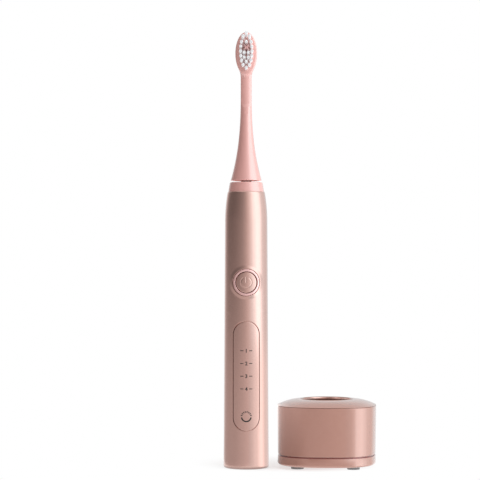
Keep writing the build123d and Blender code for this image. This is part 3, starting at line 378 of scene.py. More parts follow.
# %% Finish every measured node
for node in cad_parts.values():
    slot_name = node.data.materials[0].name.split(".")[0]
    node.data.materials.clear()
    node.data.materials.append(slot_finish[slot_name])
print("dressed", len(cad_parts), "measured nodes")

# %% [markdown]
# ## From arrays to a mesh
# A surface here is an array of points in rows and columns. `grid` joins neighbours into quads, and
# `piece` puts any number of such grids into one mesh, welds the edges where they meet, turns every
# face outwards and hangs the object on its body. Points that fall together, such as a pole, weld to
# one.

# %% Grids


def grid(points, around=False, along=False):
    """Quads between neighbours of an array (rows, columns, 3). `around` joins the last column to the
    first, and `along` the last row to the first."""
    rows, columns = points.shape[:2]
    index = np.arange(rows * columns).reshape(rows, columns)
    index = np.vstack((index, index[:1])) if along else index
    index = np.hstack((index, index[:, :1])) if around else index
    quads = np.stack((index[:-1, :-1], index[:-1, 1:], index[1:, 1:], index[1:, :-1]), -1)
    return points.reshape(-1, 3), quads.reshape(-1, 4)


def join(blocks):
    """One list of points and quads out of several, with each block's indices moved up."""
    starts = np.cumsum([0] + [len(points) for points, _ in blocks[:-1]])
    points = np.concatenate([block[0] for block in blocks])
    quads = np.concatenate([block[1] + start for block, start in zip(blocks, starts)])
    return points, quads


# %% Welding


def weld(mesh, points, quads):
    """Fills a mesh from millimetre points and quads, welds points closer than a micron, removes what
    collapsed, and turns the faces outwards; returns the number of open edges."""
    mesh.from_pydata((points * 0.001).tolist(), [], quads.tolist())
    build = bmesh.new()
    build.from_mesh(mesh)
    bmesh.ops.remove_doubles(build, verts=build.verts, dist=1e-6)
    bmesh.ops.dissolve_degenerate(build, edges=build.edges, dist=1e-7)
    loose = [edge for edge in build.edges if not edge.link_faces]
    bmesh.ops.delete(build, geom=loose, context="EDGES")
    bmesh.ops.recalc_face_normals(build, faces=build.faces)
    open_edges = sum(len(edge.link_faces) != 2 for edge in build.edges)
    build.to_mesh(mesh)
    build.free()
    return open_edges


# %% Pieces
CREASE = 32


def dress(thing, body, nodes, material):
    """Hangs an object on its body, hides the measured nodes it stands for, and gives it its finish."""
    thing.data.materials.append(material)
    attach(thing, body)
    if nodes:
        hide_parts(*nodes)
    return thing


def smooth(mesh):
    """Smooth faces, with the edges sharper than CREASE degrees kept crisp."""
    mesh.shade_smooth()
    mesh.set_sharp_from_angle(angle=math.radians(CREASE))


def piece(name, blocks, body, nodes, material):
    """A finished piece from blocks of (points, quads)."""
    mesh = bpy.data.meshes.new(name)
    open_edges = weld(mesh, *join(blocks))
    smooth(mesh)
    print(name, "faces", len(mesh.polygons), "open edges", open_edges)
    return dress(add_object(name, mesh), body, nodes, material)


# %% [markdown]
# ## Profiles
# A moulded part has no perfectly sharp edge, and a tiny round catches a line of light. `soften` takes
# the corners of a section and swaps each for a short curve; `lathe` turns a section about the axis.

# %% Profile helpers


def soften(corners, rounds, steps=5):
    """Rounds a closed section: each corner becomes a quadratic curve that starts and ends the given
    length away from it, with the corner as its control point."""
    corners = np.asarray(corners, float)
    back, on = np.roll(corners, 1, 0) - corners, np.roll(corners, -1, 0) - corners
    size = np.asarray(rounds, float)[:, None]
    start = corners + size * back / np.linalg.norm(back, axis=1, keepdims=True)
    end = corners + size * on / np.linalg.norm(on, axis=1, keepdims=True)
    s = np.linspace(0, 1, steps)[None, :, None]
    curve = (1 - s) ** 2 * start[:, None] + 2 * s * (1 - s) * corners[:, None] + s**2 * end[:, None]
    return curve.reshape(-1, 2)


def quarter(steps):
    """Angles of a quarter turn, from 0 to a right angle."""
    return np.linspace(0, np.pi / 2, steps)


def full_turn(columns):
    """Angles of a full turn, of which the last stops one step short of the first."""
    return np.linspace(0, 2 * np.pi, columns, endpoint=False)


def circles(radius, height, angles):
    """Points on circles about the axis: x = r sin a, y = -r cos a."""
    x, y = radius * np.sin(angles), -radius * np.cos(angles)
    return np.stack(np.broadcast_arrays(x, y, height), -1)


def turned(section, columns=160):
    """Points of a section of (radius, height) turned about the axis."""
    return circles(section[:, :1], section[:, 1:], full_turn(columns))


def lathe(section, place, columns=160):
    """A closed section turned about the axis and put in its place, as a block."""
    return grid(place(turned(section, columns)), around=True, along=True)


# %% [markdown]
# ## The handle's form
# The handle is turned: a rounded foot, a slight flare, an almost straight side and a shoulder that
# closes towards the collar. The radius at each height is a formula, so any piece that lies in the
# handle's skin, such as the panel or the button, can be bent to it exactly.

# %% Radius of the handle
HANDLE_LENGTH, SHOULDER_Z, FLARE_Z, FOOT_CORNER = 153.45, 137.25, 22.0, 1.2
FOOT_R, FLARE_R, WAIST_R, TOP_R, TOP_ROUND = 12.68, 12.44, 11.8, 10.35, 0.35
BORE_R, TOP_BORE_R, BORE_DRAW = 10.2, 8.75, 9.0


def arc_radius(z, start, way, end):
    """Radius along a circular arc that leaves `start` in direction `way` and passes through `end`. Its
    centre lies on the line across the way, at the chord squared over twice the chord's part across."""
    start, end = np.array(start), np.array(end)
    across = np.array([way[1], -way[0]]) / math.hypot(*way)
    chord = end - start
    reach = chord @ chord / (2 * across @ chord)
    centre = start + across * reach
    return centre[0] - np.sign(reach) * np.sqrt(np.maximum(reach**2 - (z - centre[1]) ** 2, 0))


def handle_radius(z):
    """Outer radius of the handle at a height: foot round, flare arc, straight side, shoulder arc."""
    z = np.asarray(z, float)
    way = (WAIST_R - FLARE_R, SHOULDER_Z - FLARE_Z)
    foot = FOOT_R - FOOT_CORNER + np.sqrt(np.maximum(FOOT_CORNER**2 - (FOOT_CORNER - z) ** 2, 0))
    flare = arc_radius(z, (FLARE_R, FLARE_Z), way, (FOOT_R, FOOT_CORNER))
    side = FLARE_R + (z - FLARE_Z) * way[0] / way[1]
    shoulder = arc_radius(z, (WAIST_R, SHOULDER_Z), way, (TOP_R, HANDLE_LENGTH))
    return np.select([z < FOOT_CORNER, z < FLARE_Z, z < SHOULDER_Z], [foot, flare, side], shoulder)


def bore_radius(z):
    """Radius of the handle's bore: straight, then drawn in under the collar."""
    return np.interp(z, [SHOULDER_Z, SHOULDER_Z + BORE_DRAW], [BORE_R, TOP_BORE_R])


print("handle radius at foot, middle and top", handle_radius([3, 77, HANDLE_LENGTH]).round(2))

# %% Points on the handle


def on_front(x, z, radius):
    """Points on the front of a turned form, above the front view's (x, z): y = -sqrt(r² - x²)."""
    return by_brush(np.stack((x, -np.sqrt(radius**2 - x**2), z), -1))


def on_handle(x, z, out=0.0):
    """Points on the handle's front, raised by `out` along its radius."""
    return on_front(x, z, handle_radius(z) + out)


# %% [markdown]
# ## Windows in a curved wall
# The shell has a round hole for the button and a long pocket for the panel. A grid cannot simply be
# cut there without ragged edges, so the front of each zone is woven as loops: the innermost loop is
# the hole, the outermost is the zone's rim, and each rim point looks straight at the nearest point of
# the hole's spine. A round hole is the case in which the spine is a point.

# %% Window loops


def window_rim(radius_at, half_angle, low, high, across, up):
    """The rim of a window once round: along the bottom, up one side, back along the top, down the
    other; in the front view x is the radius times the sine of the angle."""
    swing = np.linspace(-half_angle, half_angle, across + 1)
    rise = np.linspace(low, high, up + 1)
    sides = np.full(up, half_angle)
    angle = np.concatenate((swing[:-1], sides, swing[:0:-1], -sides))
    z = np.concatenate((np.full(across, low), rise[:-1], np.full(across, high), rise[:0:-1]))
    return radius_at(z) * np.sin(angle), z


def slot_loops(rim, centre, spine, sizes):
    """Round-ended loops about a spine, one for each size: the nearest point of the spine to a rim
    point, plus the size times the direction from the one to the other."""
    x, z = rim
    near_x = np.clip(x, -spine[0], spine[0])
    near_z = centre + np.clip(z - centre, -spine[1], spine[1])
    reach = np.hypot(x - near_x, z - near_z)
    size = np.asarray(sizes, float)[:, None]
    return near_x + size * (x - near_x) / reach, near_z + size * (z - near_z) / reach


def to_rim(loop, rim, steps=10):
    """Loops that slide from one loop to a window's rim, closer together near the loop."""
    share = (np.linspace(0, 1, steps + 1)[1:, None]) ** 1.4
    return tuple(start + share * (end - start) for start, end in zip(loop, rim))


# %% [markdown]
# ## The handle shell
# One closed skin: outside, over the top edge, down the bore and under the foot. Full rings make the
# plain stretches. In the two zones with a window, the back is rings and the front is loops. The skin
# rises very slightly round the button, which gives the ring its soft shadow at the upper left.

# %% Panel and button places
BUTTON_Z, BUTTON_HOLE, SWELL_RISE, SWELL_WIDTH = 103.06, 7.55, 0.22, 2.0
PANEL_Z, PANEL_HALF, PANEL_SPINE, PANEL_GAP, POCKET_DEPTH = 51.45, 7.1, 22.95, 0.25, 1.0
FRONT_HALF = math.radians(70)
PANEL_ZONE, BUTTON_ZONE = (15.5, 87.5), (87.5, 119.0)
PANEL_UP, BUTTON_UP, FRONT_COLUMNS, BACK_COLUMNS = 80, 40, 48, 84
front_angles = np.linspace(-FRONT_HALF, FRONT_HALF, FRONT_COLUMNS + 1)
back_angles = np.linspace(FRONT_HALF, 2 * np.pi - FRONT_HALF, BACK_COLUMNS + 1)
ring_angles = np.concatenate((front_angles[:-1], back_angles[:-1]))
print("points in a ring", len(ring_angles))


def rings(radius, z, angles):
    """Rings of points about the brush's axis, one for each radius and height."""
    return by_brush(circles(radius[:, None], z[:, None], angles))


def smooth_step(value):
    """Eases from 0 to 1 with level ends: 3t² - 2t³."""
    t = np.clip(value, 0, 1)
    return t * t * (3 - 2 * t)


# %% Shell: plain stretches
foot_z = FOOT_CORNER * (1 - np.cos(quarter(9)))
low_z = np.concatenate((foot_z, np.linspace(FOOT_CORNER, PANEL_ZONE[0], 12)[1:]))
low_rings = rings(np.r_[BORE_R, handle_radius(low_z)], np.r_[0.0, low_z], ring_angles)
high_z = np.linspace(BUTTON_ZONE[1], HANDLE_LENGTH - TOP_ROUND, 40)
edge = quarter(6)[1:]
edge_z = HANDLE_LENGTH - TOP_ROUND * (1 - np.sin(edge))
high_r = np.r_[handle_radius(high_z), TOP_R - TOP_ROUND * (1 - np.cos(edge)), TOP_BORE_R]
high_rings = rings(high_r, np.r_[high_z, edge_z, HANDLE_LENGTH], ring_angles)
neck_z = np.array([HANDLE_LENGTH, SHOULDER_Z + BORE_DRAW, SHOULDER_Z, BUTTON_ZONE[1]])
neck_rings = rings(bore_radius(neck_z), neck_z, ring_angles)
bore_z = np.array([BUTTON_ZONE[0], 0.0])
bore_rings = rings(bore_radius(bore_z), bore_z, ring_angles)
shell_blocks = [grid(p, around=True) for p in (low_rings, high_rings, neck_rings, bore_rings)]
print("plain stretches", sum(len(block[1]) for block in shell_blocks))

# %% Shell: panel pocket
panel_rows = np.linspace(*PANEL_ZONE, PANEL_UP + 1)
shell_blocks.append(grid(rings(handle_radius(panel_rows), panel_rows, back_angles)))
panel_rim = window_rim(handle_radius, FRONT_HALF, *PANEL_ZONE, FRONT_COLUMNS, PANEL_UP)
pocket = PANEL_HALF + PANEL_GAP
pocket_size = pocket + np.array([0.0, 0.015, 0.06, 0.13, 0.22, 0.6, 1.1])
pocket_out = np.array([-0.20, -0.10, -0.04, -0.01, 0.0, 0.0, 0.0])[:, None]
pocket_x, pocket_z = slot_loops(panel_rim, PANEL_Z, (0, PANEL_SPINE), pocket_size)
rim_x, rim_z = to_rim((pocket_x[-1], pocket_z[-1]), panel_rim)
skin = np.concatenate((on_handle(pocket_x, pocket_z, pocket_out), on_handle(rim_x, rim_z)))
floor_x, floor_z = slot_loops(panel_rim, PANEL_Z, (0, PANEL_SPINE), np.linspace(pocket, 0, 12))
pocket_floor = np.concatenate((skin[:1], on_handle(floor_x, floor_z, -POCKET_DEPTH)))
shell_blocks += [grid(skin, around=True), grid(pocket_floor, around=True)]
print("pocket loops", len(skin), "of", skin.shape[1], "points")

# %% Shell: button hole
button_rows = np.linspace(*BUTTON_ZONE, BUTTON_UP + 1)
shell_blocks.append(grid(rings(handle_radius(button_rows), button_rows, back_angles)))
shell_blocks.append(grid(rings(bore_radius(button_rows), button_rows, back_angles)))
button_rim = window_rim(handle_radius, FRONT_HALF, *BUTTON_ZONE, FRONT_COLUMNS, BUTTON_UP)
bore_rim = window_rim(bore_radius, FRONT_HALF, *BUTTON_ZONE, FRONT_COLUMNS, BUTTON_UP)
SWELL_LOOPS = 14
swell = np.r_[0.0, 0.02, 0.07, 0.15, np.linspace(0.3, 3.0, SWELL_LOOPS)]
hole_round = np.r_[0.2, 0.1, 0.04, 0.01, np.zeros(SWELL_LOOPS)]
swell_out = SWELL_RISE * (1 - smooth_step(swell / SWELL_WIDTH)) - hole_round
hole_x, hole_z = slot_loops(button_rim, BUTTON_Z, (0, 0), BUTTON_HOLE + swell)
rim_x, rim_z = to_rim((hole_x[-1], hole_z[-1]), button_rim)
skin = np.concatenate((on_handle(hole_x, hole_z, swell_out[:, None]), on_handle(rim_x, rim_z)))
bore_x, bore_z = to_rim((hole_x[0], hole_z[0]), bore_rim, 4)
lining = np.concatenate((
    skin[:1],
    on_front(hole_x[:1], hole_z[:1], bore_radius(hole_z[:1])),
    on_front(bore_x, bore_z, bore_radius(bore_z))))
shell_blocks += [grid(skin, around=True), grid(lining, around=True)]
piece("handle_skin", shell_blocks, "handle", ["handle_shell"], rose_handle)

# %% [markdown]
# ## The mode panel
# A thin plate lies flush in the pocket with a hairline gap all round, and that gap is what draws its
# outline in the photograph. The same loops make it: from the spine out over a tiny rounded edge, down
# the side and back under to the spine.

# %% Mode panel
PANEL_FLAT, PANEL_BACK, FACE_LOOPS, BACK_LOOPS = 6.6, -0.97, 10, 8
panel_size = np.r_[
    np.linspace(0, PANEL_FLAT, FACE_LOOPS),
    PANEL_HALF - np.array([0.3, 0.17, 0.08, 0.02, 0.0, 0.0]),
    np.linspace(PANEL_HALF - 0.1, 0, BACK_LOOPS)]
panel_out = np.r_[
    np.zeros(FACE_LOOPS), 0.0, -0.02, -0.07, -0.15, -0.25, -0.9, np.full(BACK_LOOPS, PANEL_BACK)]
panel_x, panel_z = slot_loops(panel_rim, PANEL_Z, (0, PANEL_SPINE), panel_size)
panel_skin = on_handle(panel_x, panel_z, panel_out[:, None])
piece("mode_plate", [grid(panel_skin, around=True)],
      "handle", ["mode_panel"], rose_handle)

# %% [markdown]
# ## The marks on the panel
# Dark marks are printed on the panel: a digit for each cleaning mode between two short strokes, and a
# ring for the charge, solid below and dotted above. The digits are text that is turned into a mesh
# first and then laid on the panel, so that each point can be bent to the handle. Strokes, arc and
# dots are small grids.

# %% Bars, arcs and dots
PRINT_OUT, PRINT_IN = 0.03, -0.02


def film(x, z):
    """A printed film over front-view points (rows, columns): a face just above the handle, and a back
    just inside it, joined round the edge."""
    faces = [on_handle(x, z, out) for out in (PRINT_OUT, PRINT_IN)]
    edges = [np.concatenate((f[0], f[1:, -1], f[-1, -2::-1], f[-2:0:-1, 0])) for f in faces]
    return [grid(faces[0]), grid(faces[1]), grid(np.stack(edges), around=True)]


def stroke(x, z, width, height):
    """A printed bar about a point."""
    across, up = np.meshgrid(np.linspace(-0.5, 0.5, 7), np.linspace(-0.5, 0.5, 3))
    return film(x + across * width, z + up * height)


def sweep(z, inner, outer, start, end, columns):
    """A printed arc about (0, z) between two radii, from one angle to another in degrees."""
    angle = np.radians(np.linspace(start, end, columns))
    radius = np.linspace(inner, outer, 4)[:, None]
    return film(radius * np.cos(angle), z + radius * np.sin(angle))


MODE_HEIGHTS = (65.45, 58.45, 51.45, 44.45)
DASH_X, DASH_WIDTH, DASH_HEIGHT = 2.45, 1.8, 0.42
CHARGE_Z, ARC_RADII, ARC_ENDS = 29.15, (2.25, 3.0), (188, 352)
DOTS, DOT_RADII, DOT_ENDS, DOT_HALF = 8, (2.2, 3.1), (16, 164), 5.5
marks = []
for z in MODE_HEIGHTS:
    for x in (-DASH_X, DASH_X):
        marks += stroke(x, z, DASH_WIDTH, DASH_HEIGHT)
marks += sweep(CHARGE_Z, *ARC_RADII, *ARC_ENDS, 60)
for angle in np.linspace(*DOT_ENDS, DOTS):
    marks += sweep(CHARGE_Z, *DOT_RADII, angle - DOT_HALF, angle + DOT_HALF, 5)
piece("panel_marks", marks, "handle", [], dark_print)

# %% Digits
DIGIT_HEIGHT = 2.1


def digit_blocks(text, z, height):
    """A digit as a mesh: its outline is filled by the text object, centred on its own box, scaled to a
    height and laid on the panel."""
    curve = bpy.data.curves.new("digit", "FONT")
    curve.body = text
    curve.offset = 0.03
    curve.extrude = 0.5
    holder = bpy.data.objects.new("digit", curve)
    mesh = bpy.data.meshes.new_from_object(holder)
    flat = np.empty(len(mesh.vertices) * 3)
    mesh.vertices.foreach_get("co", flat)
    flat = flat.reshape(-1, 3)
    middle = (flat.min(0) + flat.max(0)) / 2
    scale = height / np.ptp(flat[:, 1])
    flat = (flat - middle) * (scale, scale, 1.0)
    out = np.where(flat[:, 2] > 0, PRINT_OUT, PRINT_IN)
    faces = [tuple(polygon.vertices) for polygon in mesh.polygons]
    bpy.data.objects.remove(holder)
    bpy.data.meshes.remove(mesh)
    return on_handle(flat[:, 0], z + flat[:, 1], out), faces


for number, z in enumerate(MODE_HEIGHTS, 1):
    points, faces = digit_blocks(str(number), z, DIGIT_HEIGHT)
    mesh = bpy.data.meshes.new(f"mode_digit_{number}")
    mesh.from_pydata((points * 0.001).tolist(), [], faces)
    dress(add_object(mesh.name, mesh), "handle", [], dark_print)
print("digits", len(MODE_HEIGHTS))

# %% [markdown]
# ## The power button
# The button is a disc bent to the handle, a hair below its skin, with the usual broken ring and bar
# pressed into it. The sunk line is not cut as a separate shape: each point asks how far it is from
# the middle of the line, and sinks with a soft edge when it is closer than half the line's width.

# %% Symbol
SYMBOL_R, SYMBOL_HALF, SYMBOL_DEPTH, SYMBOL_EDGE = 3.0, 0.30, 0.10, 0.12
SYMBOL_OPENING = math.radians(38)


def symbol_distance(x, z):
    """Distance from a front-view point to the symbol's middle line: a ring open at the top, and an
    upright bar through the opening."""
    end = SYMBOL_R * np.array([math.sin(SYMBOL_OPENING), math.cos(SYMBOL_OPENING)])
    ring = np.where(np.abs(np.arctan2(x, z)) > SYMBOL_OPENING, np.abs(np.hypot(x, z) - SYMBOL_R),
                    np.hypot(np.abs(x) - end[0], z - end[1]))
    bar = np.hypot(x, z - np.clip(z, 0.0, SYMBOL_R))
    return np.minimum(ring, bar)


# %% Power button
BUTTON_R, BUTTON_FLAT, BUTTON_SINK, BUTTON_BACK, BUTTON_LOOPS = 5.75, 5.2, 0.1, -1.1, 64
turn = full_turn(288)
face_r = np.r_[np.linspace(0, BUTTON_FLAT, BUTTON_LOOPS),
               BUTTON_R - np.array([0.4, 0.28, 0.18, 0.09, 0.03, 0.0])]
face_out = np.r_[np.zeros(BUTTON_LOOPS), 0.0, -0.02, -0.05, -0.11, -0.18, -0.28] - BUTTON_SINK
face_x, face_z = face_r[:, None] * np.sin(turn), face_r[:, None] * np.cos(turn)
beyond = symbol_distance(face_x, face_z) - SYMBOL_HALF + SYMBOL_EDGE
sunk = SYMBOL_DEPTH * (1 - smooth_step(beyond / (2 * SYMBOL_EDGE)))
face = on_handle(face_x, BUTTON_Z + face_z, face_out[:, None] - sunk)
back_r = np.linspace(BUTTON_R, 0, 6)[:, None]
back = on_handle(back_r * np.sin(turn), BUTTON_Z + back_r * np.cos(turn), BUTTON_BACK)
STEM_R, STEM_BACK, STEM_FRONT = 1.6, -9.63, -11.2
stem_turn = full_turn(48)
stem_r = np.array([0.0, STEM_R, STEM_R, 0.0])[:, None]
stem_y = np.array([STEM_BACK, STEM_BACK, STEM_FRONT, STEM_FRONT])[:, None]
stem = by_brush(np.stack(np.broadcast_arrays(
    stem_r * np.sin(stem_turn), stem_y, BUTTON_Z + stem_r * np.cos(stem_turn)), -1))
piece("power_cap", [grid(np.concatenate((face, back)), around=True), grid(stem, around=True)],
      "button", ["power_button"], rose_handle)

# %% [markdown]
# ## The ring round the button
# A polished ring stands a quarter of a millimetre proud of the handle. Its section is a rounded bar;
# carried round the button and bent to the handle at each point, it becomes a slightly saddle-shaped
# ring that mirrors the bright window on one side only.

# %% Button ring
RING_IN, RING_OUT, RING_LOW, RING_HIGH, RING_ROUND = 6.05, 7.45, -1.35, 0.25, 0.62
ring_section = soften(
    [(RING_IN, RING_LOW), (RING_OUT, RING_LOW), (RING_OUT, RING_HIGH), (RING_IN, RING_HIGH)],
    [0, 0, RING_ROUND, RING_ROUND], 10)
ring_x = ring_section[:, :1] * np.sin(turn)
ring_z = ring_section[:, :1] * np.cos(turn)
ring = on_handle(ring_x, BUTTON_Z + ring_z, ring_section[:, 1:])
piece("button_ring", [grid(ring, around=True, along=True)],
      "handle", ["button_bezel"], rose_ring)

# %% [markdown]
# ## Collar and boot
# Above the shell sits a glossy pink collar, a short cone with softened edges, and a rubber boot rises
# from it round the shaft. The boot's pale grey-brown is painted light, lighter than dark rubber, so
# that it shows in the gap's shade; the short dark strip in the gap below the head is that boot.
# Each is a section of (radius, height above the handle), given by its corners and the round of each
# corner.

# %% Collar and boot
collar = soften(
    [(6.45, -6.0), (8.65, -6.0), (8.65, -3.65), (7.55, -3.65), (7.55, -2.35), (8.65, -2.35),
     (8.65, 0.0), (10.0, 0.0), (9.09, 5.35), (3.05, 5.35), (3.05, 3.6), (6.45, 3.6)],
    [0.1, 0.2, 0, 0, 0, 0, 0, 0.15, 0.45, 0.12, 0, 0])
piece("collar", [lathe(collar + (0, HANDLE_LENGTH), by_brush)],
      "handle", ["neck_collar"], pink_gloss)
boot = soften(
    [(2.05, 1.5), (4.6, 1.5), (4.6, 3.5), (2.95, 3.5), (2.95, 7.3), (2.05, 7.3)],
    [0, 0.2, 0.2, 0.1, 0.35, 0.1])
piece("boot", [lathe(boot + (0, HANDLE_LENGTH), by_brush)],
      "handle", ["shaft_boot"], boot_rubber)

# %% [markdown]
# ## The brush head
# Skirt, neck and head are one moulding. The lower part is turned. Higher up the section changes from
# a circle to a rounded plate, and the front of the neck becomes a flatter, wider round. The two forms
# are given as distances to their surfaces and blended where they meet; for each height and direction
# the surface is then found by halving an interval until it is closer than a thousandth of a
# millimetre.

# %% Sizes of the head and radius of the neck
SKIRT_R, SKIRT_DROP, NECK_R = 8.7, 0.25, 3.08
FLAT_LOW, FLAT_HIGH, FLAT_DEPTH, FLAT_BACK = 40.2, 42.8, 1.9, 4.0
SKIRT_Z = HANDLE_LENGTH + 6.5
HEAD_Z = SKIRT_Z + 70.65
HEAD_HALF_WIDTH, HEAD_HALF_LENGTH, HEAD_FRONT, HEAD_BACK = 6.05, 11.95, 3.0, 2.2
FRONT_ROUND, BACK_ROUND, ROUND_SPLIT, FILLET = 0.8, 1.5, -0.4, 2.0
flare = np.array([(SKIRT_R, -SKIRT_DROP), (4.35, 15.0), (NECK_R, 29.3), (NECK_R, 46.3)]) + (0, SKIRT_Z)


def neck_radius(z):
    """Radius of skirt and neck: a cubic curve from the skirt's edge to the neck, straight to the head,
    then tapered inside the plate."""
    s = np.linspace(0, 1, 400)[:, None]
    curve = ((1 - s) ** 3 * flare[0] + 3 * s * (1 - s) ** 2 * flare[1]
             + 3 * s**2 * (1 - s) * flare[2] + s**3 * flare[3])
    top = HEAD_Z - HEAD_HALF_LENGTH
    heights = np.r_[curve[:, 1], top, HEAD_Z, HEAD_Z + 20]
    return np.interp(z, heights, np.r_[curve[:, 0], NECK_R, 1.4, 0.2])


print("radius of skirt and neck", neck_radius([SKIRT_Z, SKIRT_Z + FLAT_LOW]).round(2))

# %% Distances to the neck and the plate


def blend_max(a, b, soft):
    """The larger of two distances, with the corner between them rounded over a width."""
    h = np.clip(0.5 + 0.5 * (a - b) / soft, 0, 1)
    return b + (a - b) * h + soft * h * (1 - h)


def neck_distance(x, y, z):
    """Signed distance to the neck: a round rod whose front is cut by a flatter, wider round, which
    steps back above its lower end."""
    depth = np.interp(z, [SKIRT_Z + FLAT_LOW, SKIRT_Z + FLAT_HIGH], [NECK_R, FLAT_DEPTH])
    rod = np.hypot(x, y) - neck_radius(z)
    flat = np.hypot(x, y - FLAT_BACK) - FLAT_BACK - depth
    return blend_max(rod, flat, 0.10)


def plate_distance(x, y, z):
    """Signed distance to the head's plate: an oval pushed from front to back, with rounded edges."""
    up = z - HEAD_Z
    oval = np.maximum(np.hypot(x / HEAD_HALF_WIDTH, up / HEAD_HALF_LENGTH), 1e-6)
    slope = np.hypot(x / HEAD_HALF_WIDTH**2, up / HEAD_HALF_LENGTH**2) / oval
    side = (oval - 1) / np.maximum(slope, 1e-6)
    front = y < ROUND_SPLIT
    edge = np.where(front, FRONT_ROUND, BACK_ROUND)
    face = np.where(front, -y - HEAD_FRONT, y - HEAD_BACK)
    a, b = side + edge, face + edge
    return np.minimum(np.maximum(a, b), 0) + np.hypot(np.maximum(a, 0), np.maximum(b, 0)) - edge


def head_distance(x, y, z):
    """The nearer of neck and plate, with a soft fillet where they meet."""
    return -blend_max(-neck_distance(x, y, z), -plate_distance(x, y, z), FILLET)


# %% Find the head's surface
HEAD_COLUMNS, HEAD_ROWS, TURNED_LENGTH = 224, 190, 37.0
PLATE_START, PLATE_EASE, PLATE_DEEP, PLATE_MIDDLE = -16.5, 8, 2.6, -0.5
SEARCH_FAR, HALVINGS = 6.0, 30
head_turn = full_turn(HEAD_COLUMNS)
rise = np.linspace(0, 1, HEAD_ROWS)
low_z, high_z = SKIRT_Z + TURNED_LENGTH, HEAD_Z + HEAD_HALF_LENGTH - 0.004
top_z = low_z + (high_z - low_z) * np.sin(rise * np.pi / 2)
level = top_z[:, None]
oval_half = HEAD_HALF_WIDTH * np.sqrt(np.maximum(1 - ((level - HEAD_Z) / HEAD_HALF_LENGTH) ** 2, 0))
on_plate = smooth_step((level - HEAD_Z - PLATE_START) / PLATE_EASE)
wide = np.maximum(oval_half, neck_radius(level) * (1 - on_plate) + 1e-4)
deep = neck_radius(level) * (1 - on_plate) + PLATE_DEEP * on_plate
middle = PLATE_MIDDLE * on_plate
way_x, way_y = wide * np.sin(head_turn), -deep * np.cos(head_turn)
near, far = np.zeros_like(way_x), np.full_like(way_x, SEARCH_FAR)
levels = np.broadcast_to(level, way_x.shape)
for _ in range(HALVINGS):
    half = (near + far) / 2
    inside = head_distance(half * way_x, middle + half * way_y, levels) < 0
    near, far = np.where(inside, half, near), np.where(inside, far, half)
upper = np.stack((near * way_x, middle + near * way_y, levels), -1)
crown = upper[-1:] * (0, 1, 0) + (0, 0, HEAD_Z + HEAD_HALF_LENGTH)
print("head rows", len(upper), "half width", upper[..., 0].max().round(2))

# %% Skirt and head as one piece
SOCKET_R = 3.32
skirt_z = np.linspace(SKIRT_Z + 0.15, low_z - 0.3, 90)
skirt_side = np.column_stack((neck_radius(skirt_z), skirt_z))
skirt_low, socket_top = SKIRT_Z - SKIRT_DROP, SKIRT_Z + 17.2
skirt_edge = soften(
    [(SOCKET_R, socket_top), (SOCKET_R, SKIRT_Z + 10.4), (7.3, skirt_low), (SKIRT_R, skirt_low),
     skirt_side[3]],
    [0, 0, 0.2, 0.35, 0], 6)
skirt_section = np.vstack(([0.0, socket_top], skirt_edge[:24], skirt_side[1:]))
head_points = np.concatenate((turned(skirt_section, HEAD_COLUMNS), upper, crown))
piece("head", [grid(by_brush(head_points), around=True)],
      "head", ["brush_head"], head_gloss)

# %% [markdown]
# ## The bed of the tufts
# Between the tufts the head's face is in deep shade. Real tufts are packed closer than these strands,
# so the face itself is made darker there: the head's finish is multiplied by a ramp over the distance
# from the middle of the face, counted in half widths, half depths and half lengths of the bed.

# %% Darker bed
BED_HALF = np.array([3.0, 1.5, 8.8])
bed_middle = BRUSH + (0, -HEAD_FRONT, HEAD_Z)
tree = head_gloss.node_tree
bed = tree.nodes.new("ShaderNodeMapping")
bed.inputs["Scale"].default_value = 1000 / BED_HALF
bed.inputs["Location"].default_value = -bed_middle / BED_HALF
link(tree, own_coords(tree), bed.inputs[0])
reach = tree.nodes.new("ShaderNodeVectorMath")
reach.operation = "LENGTH"
link(tree, bed.outputs[0], reach.inputs[0])
repaint(head_gloss, reach.outputs["Value"], [(0.0, 0.55), (0.7, 0.62), (1.0, 1.0)])
print("bed half sizes", BED_HALF)

# %% [markdown]
# ## Bristles
# Each tuft is a bundle of thin nylon strands packed in hexagons, so that its end looks round and a
# little ragged. A strand is a six-sided rod with a rounded tip, only a couple of dozen faces, because
# there are hundreds. All strands of a kind are computed at once: one array over strands, rings and
# sides.

# %% Strands
STRAND_R, STRAND_SIDES = 0.125, 6


def strands(x, z, length, lean_x, lean_z):
    """Rods that point forward from (x, z): rings of six points at given shares of the length, thinned
    at the tip, each ring slid sideways by the lean times its share."""
    share = np.array([-0.03, 0.55, 0.986, 0.996, 1.0])
    thin = np.array([1.0, 1.0, 1.0, 0.7, 0.0])
    side = full_turn(STRAND_SIDES)
    ring_x = STRAND_R * thin[:, None] * np.cos(side)
    ring_z = STRAND_R * thin[:, None] * np.sin(side)
    shape = (len(x), len(share), STRAND_SIDES)
    px = x[:, None, None] + lean_x[:, None, None] * share[:, None] + ring_x
    pz = z[:, None, None] + lean_z[:, None, None] * share[:, None] + ring_z
    py = -HEAD_FRONT - length[:, None, None] * share[:, None]
    points = by_brush(np.stack((px, np.broadcast_to(py, shape), pz), -1))
    root = points[:, :1].mean(2, keepdims=True) + np.zeros((1, 1, STRAND_SIDES, 1))
    points = np.concatenate((root, points), 1)
    index = np.arange(points[..., 0].size).reshape(points.shape[:3])
    ahead = np.roll(index, -1, 2)
    quads = np.stack((index[:, :-1], ahead[:, :-1], ahead[:, 1:], index[:, 1:]), -1)
    return points.reshape(-1, 3), quads.reshape(-1, 4)


# %% Strands of a tuft
SPLAY, STRAY, TOP_LEAN, UNEVEN, TIP_DOME = 0.10, 0.02, 1.0, 0.012, 0.25
random = np.random.default_rng(7)


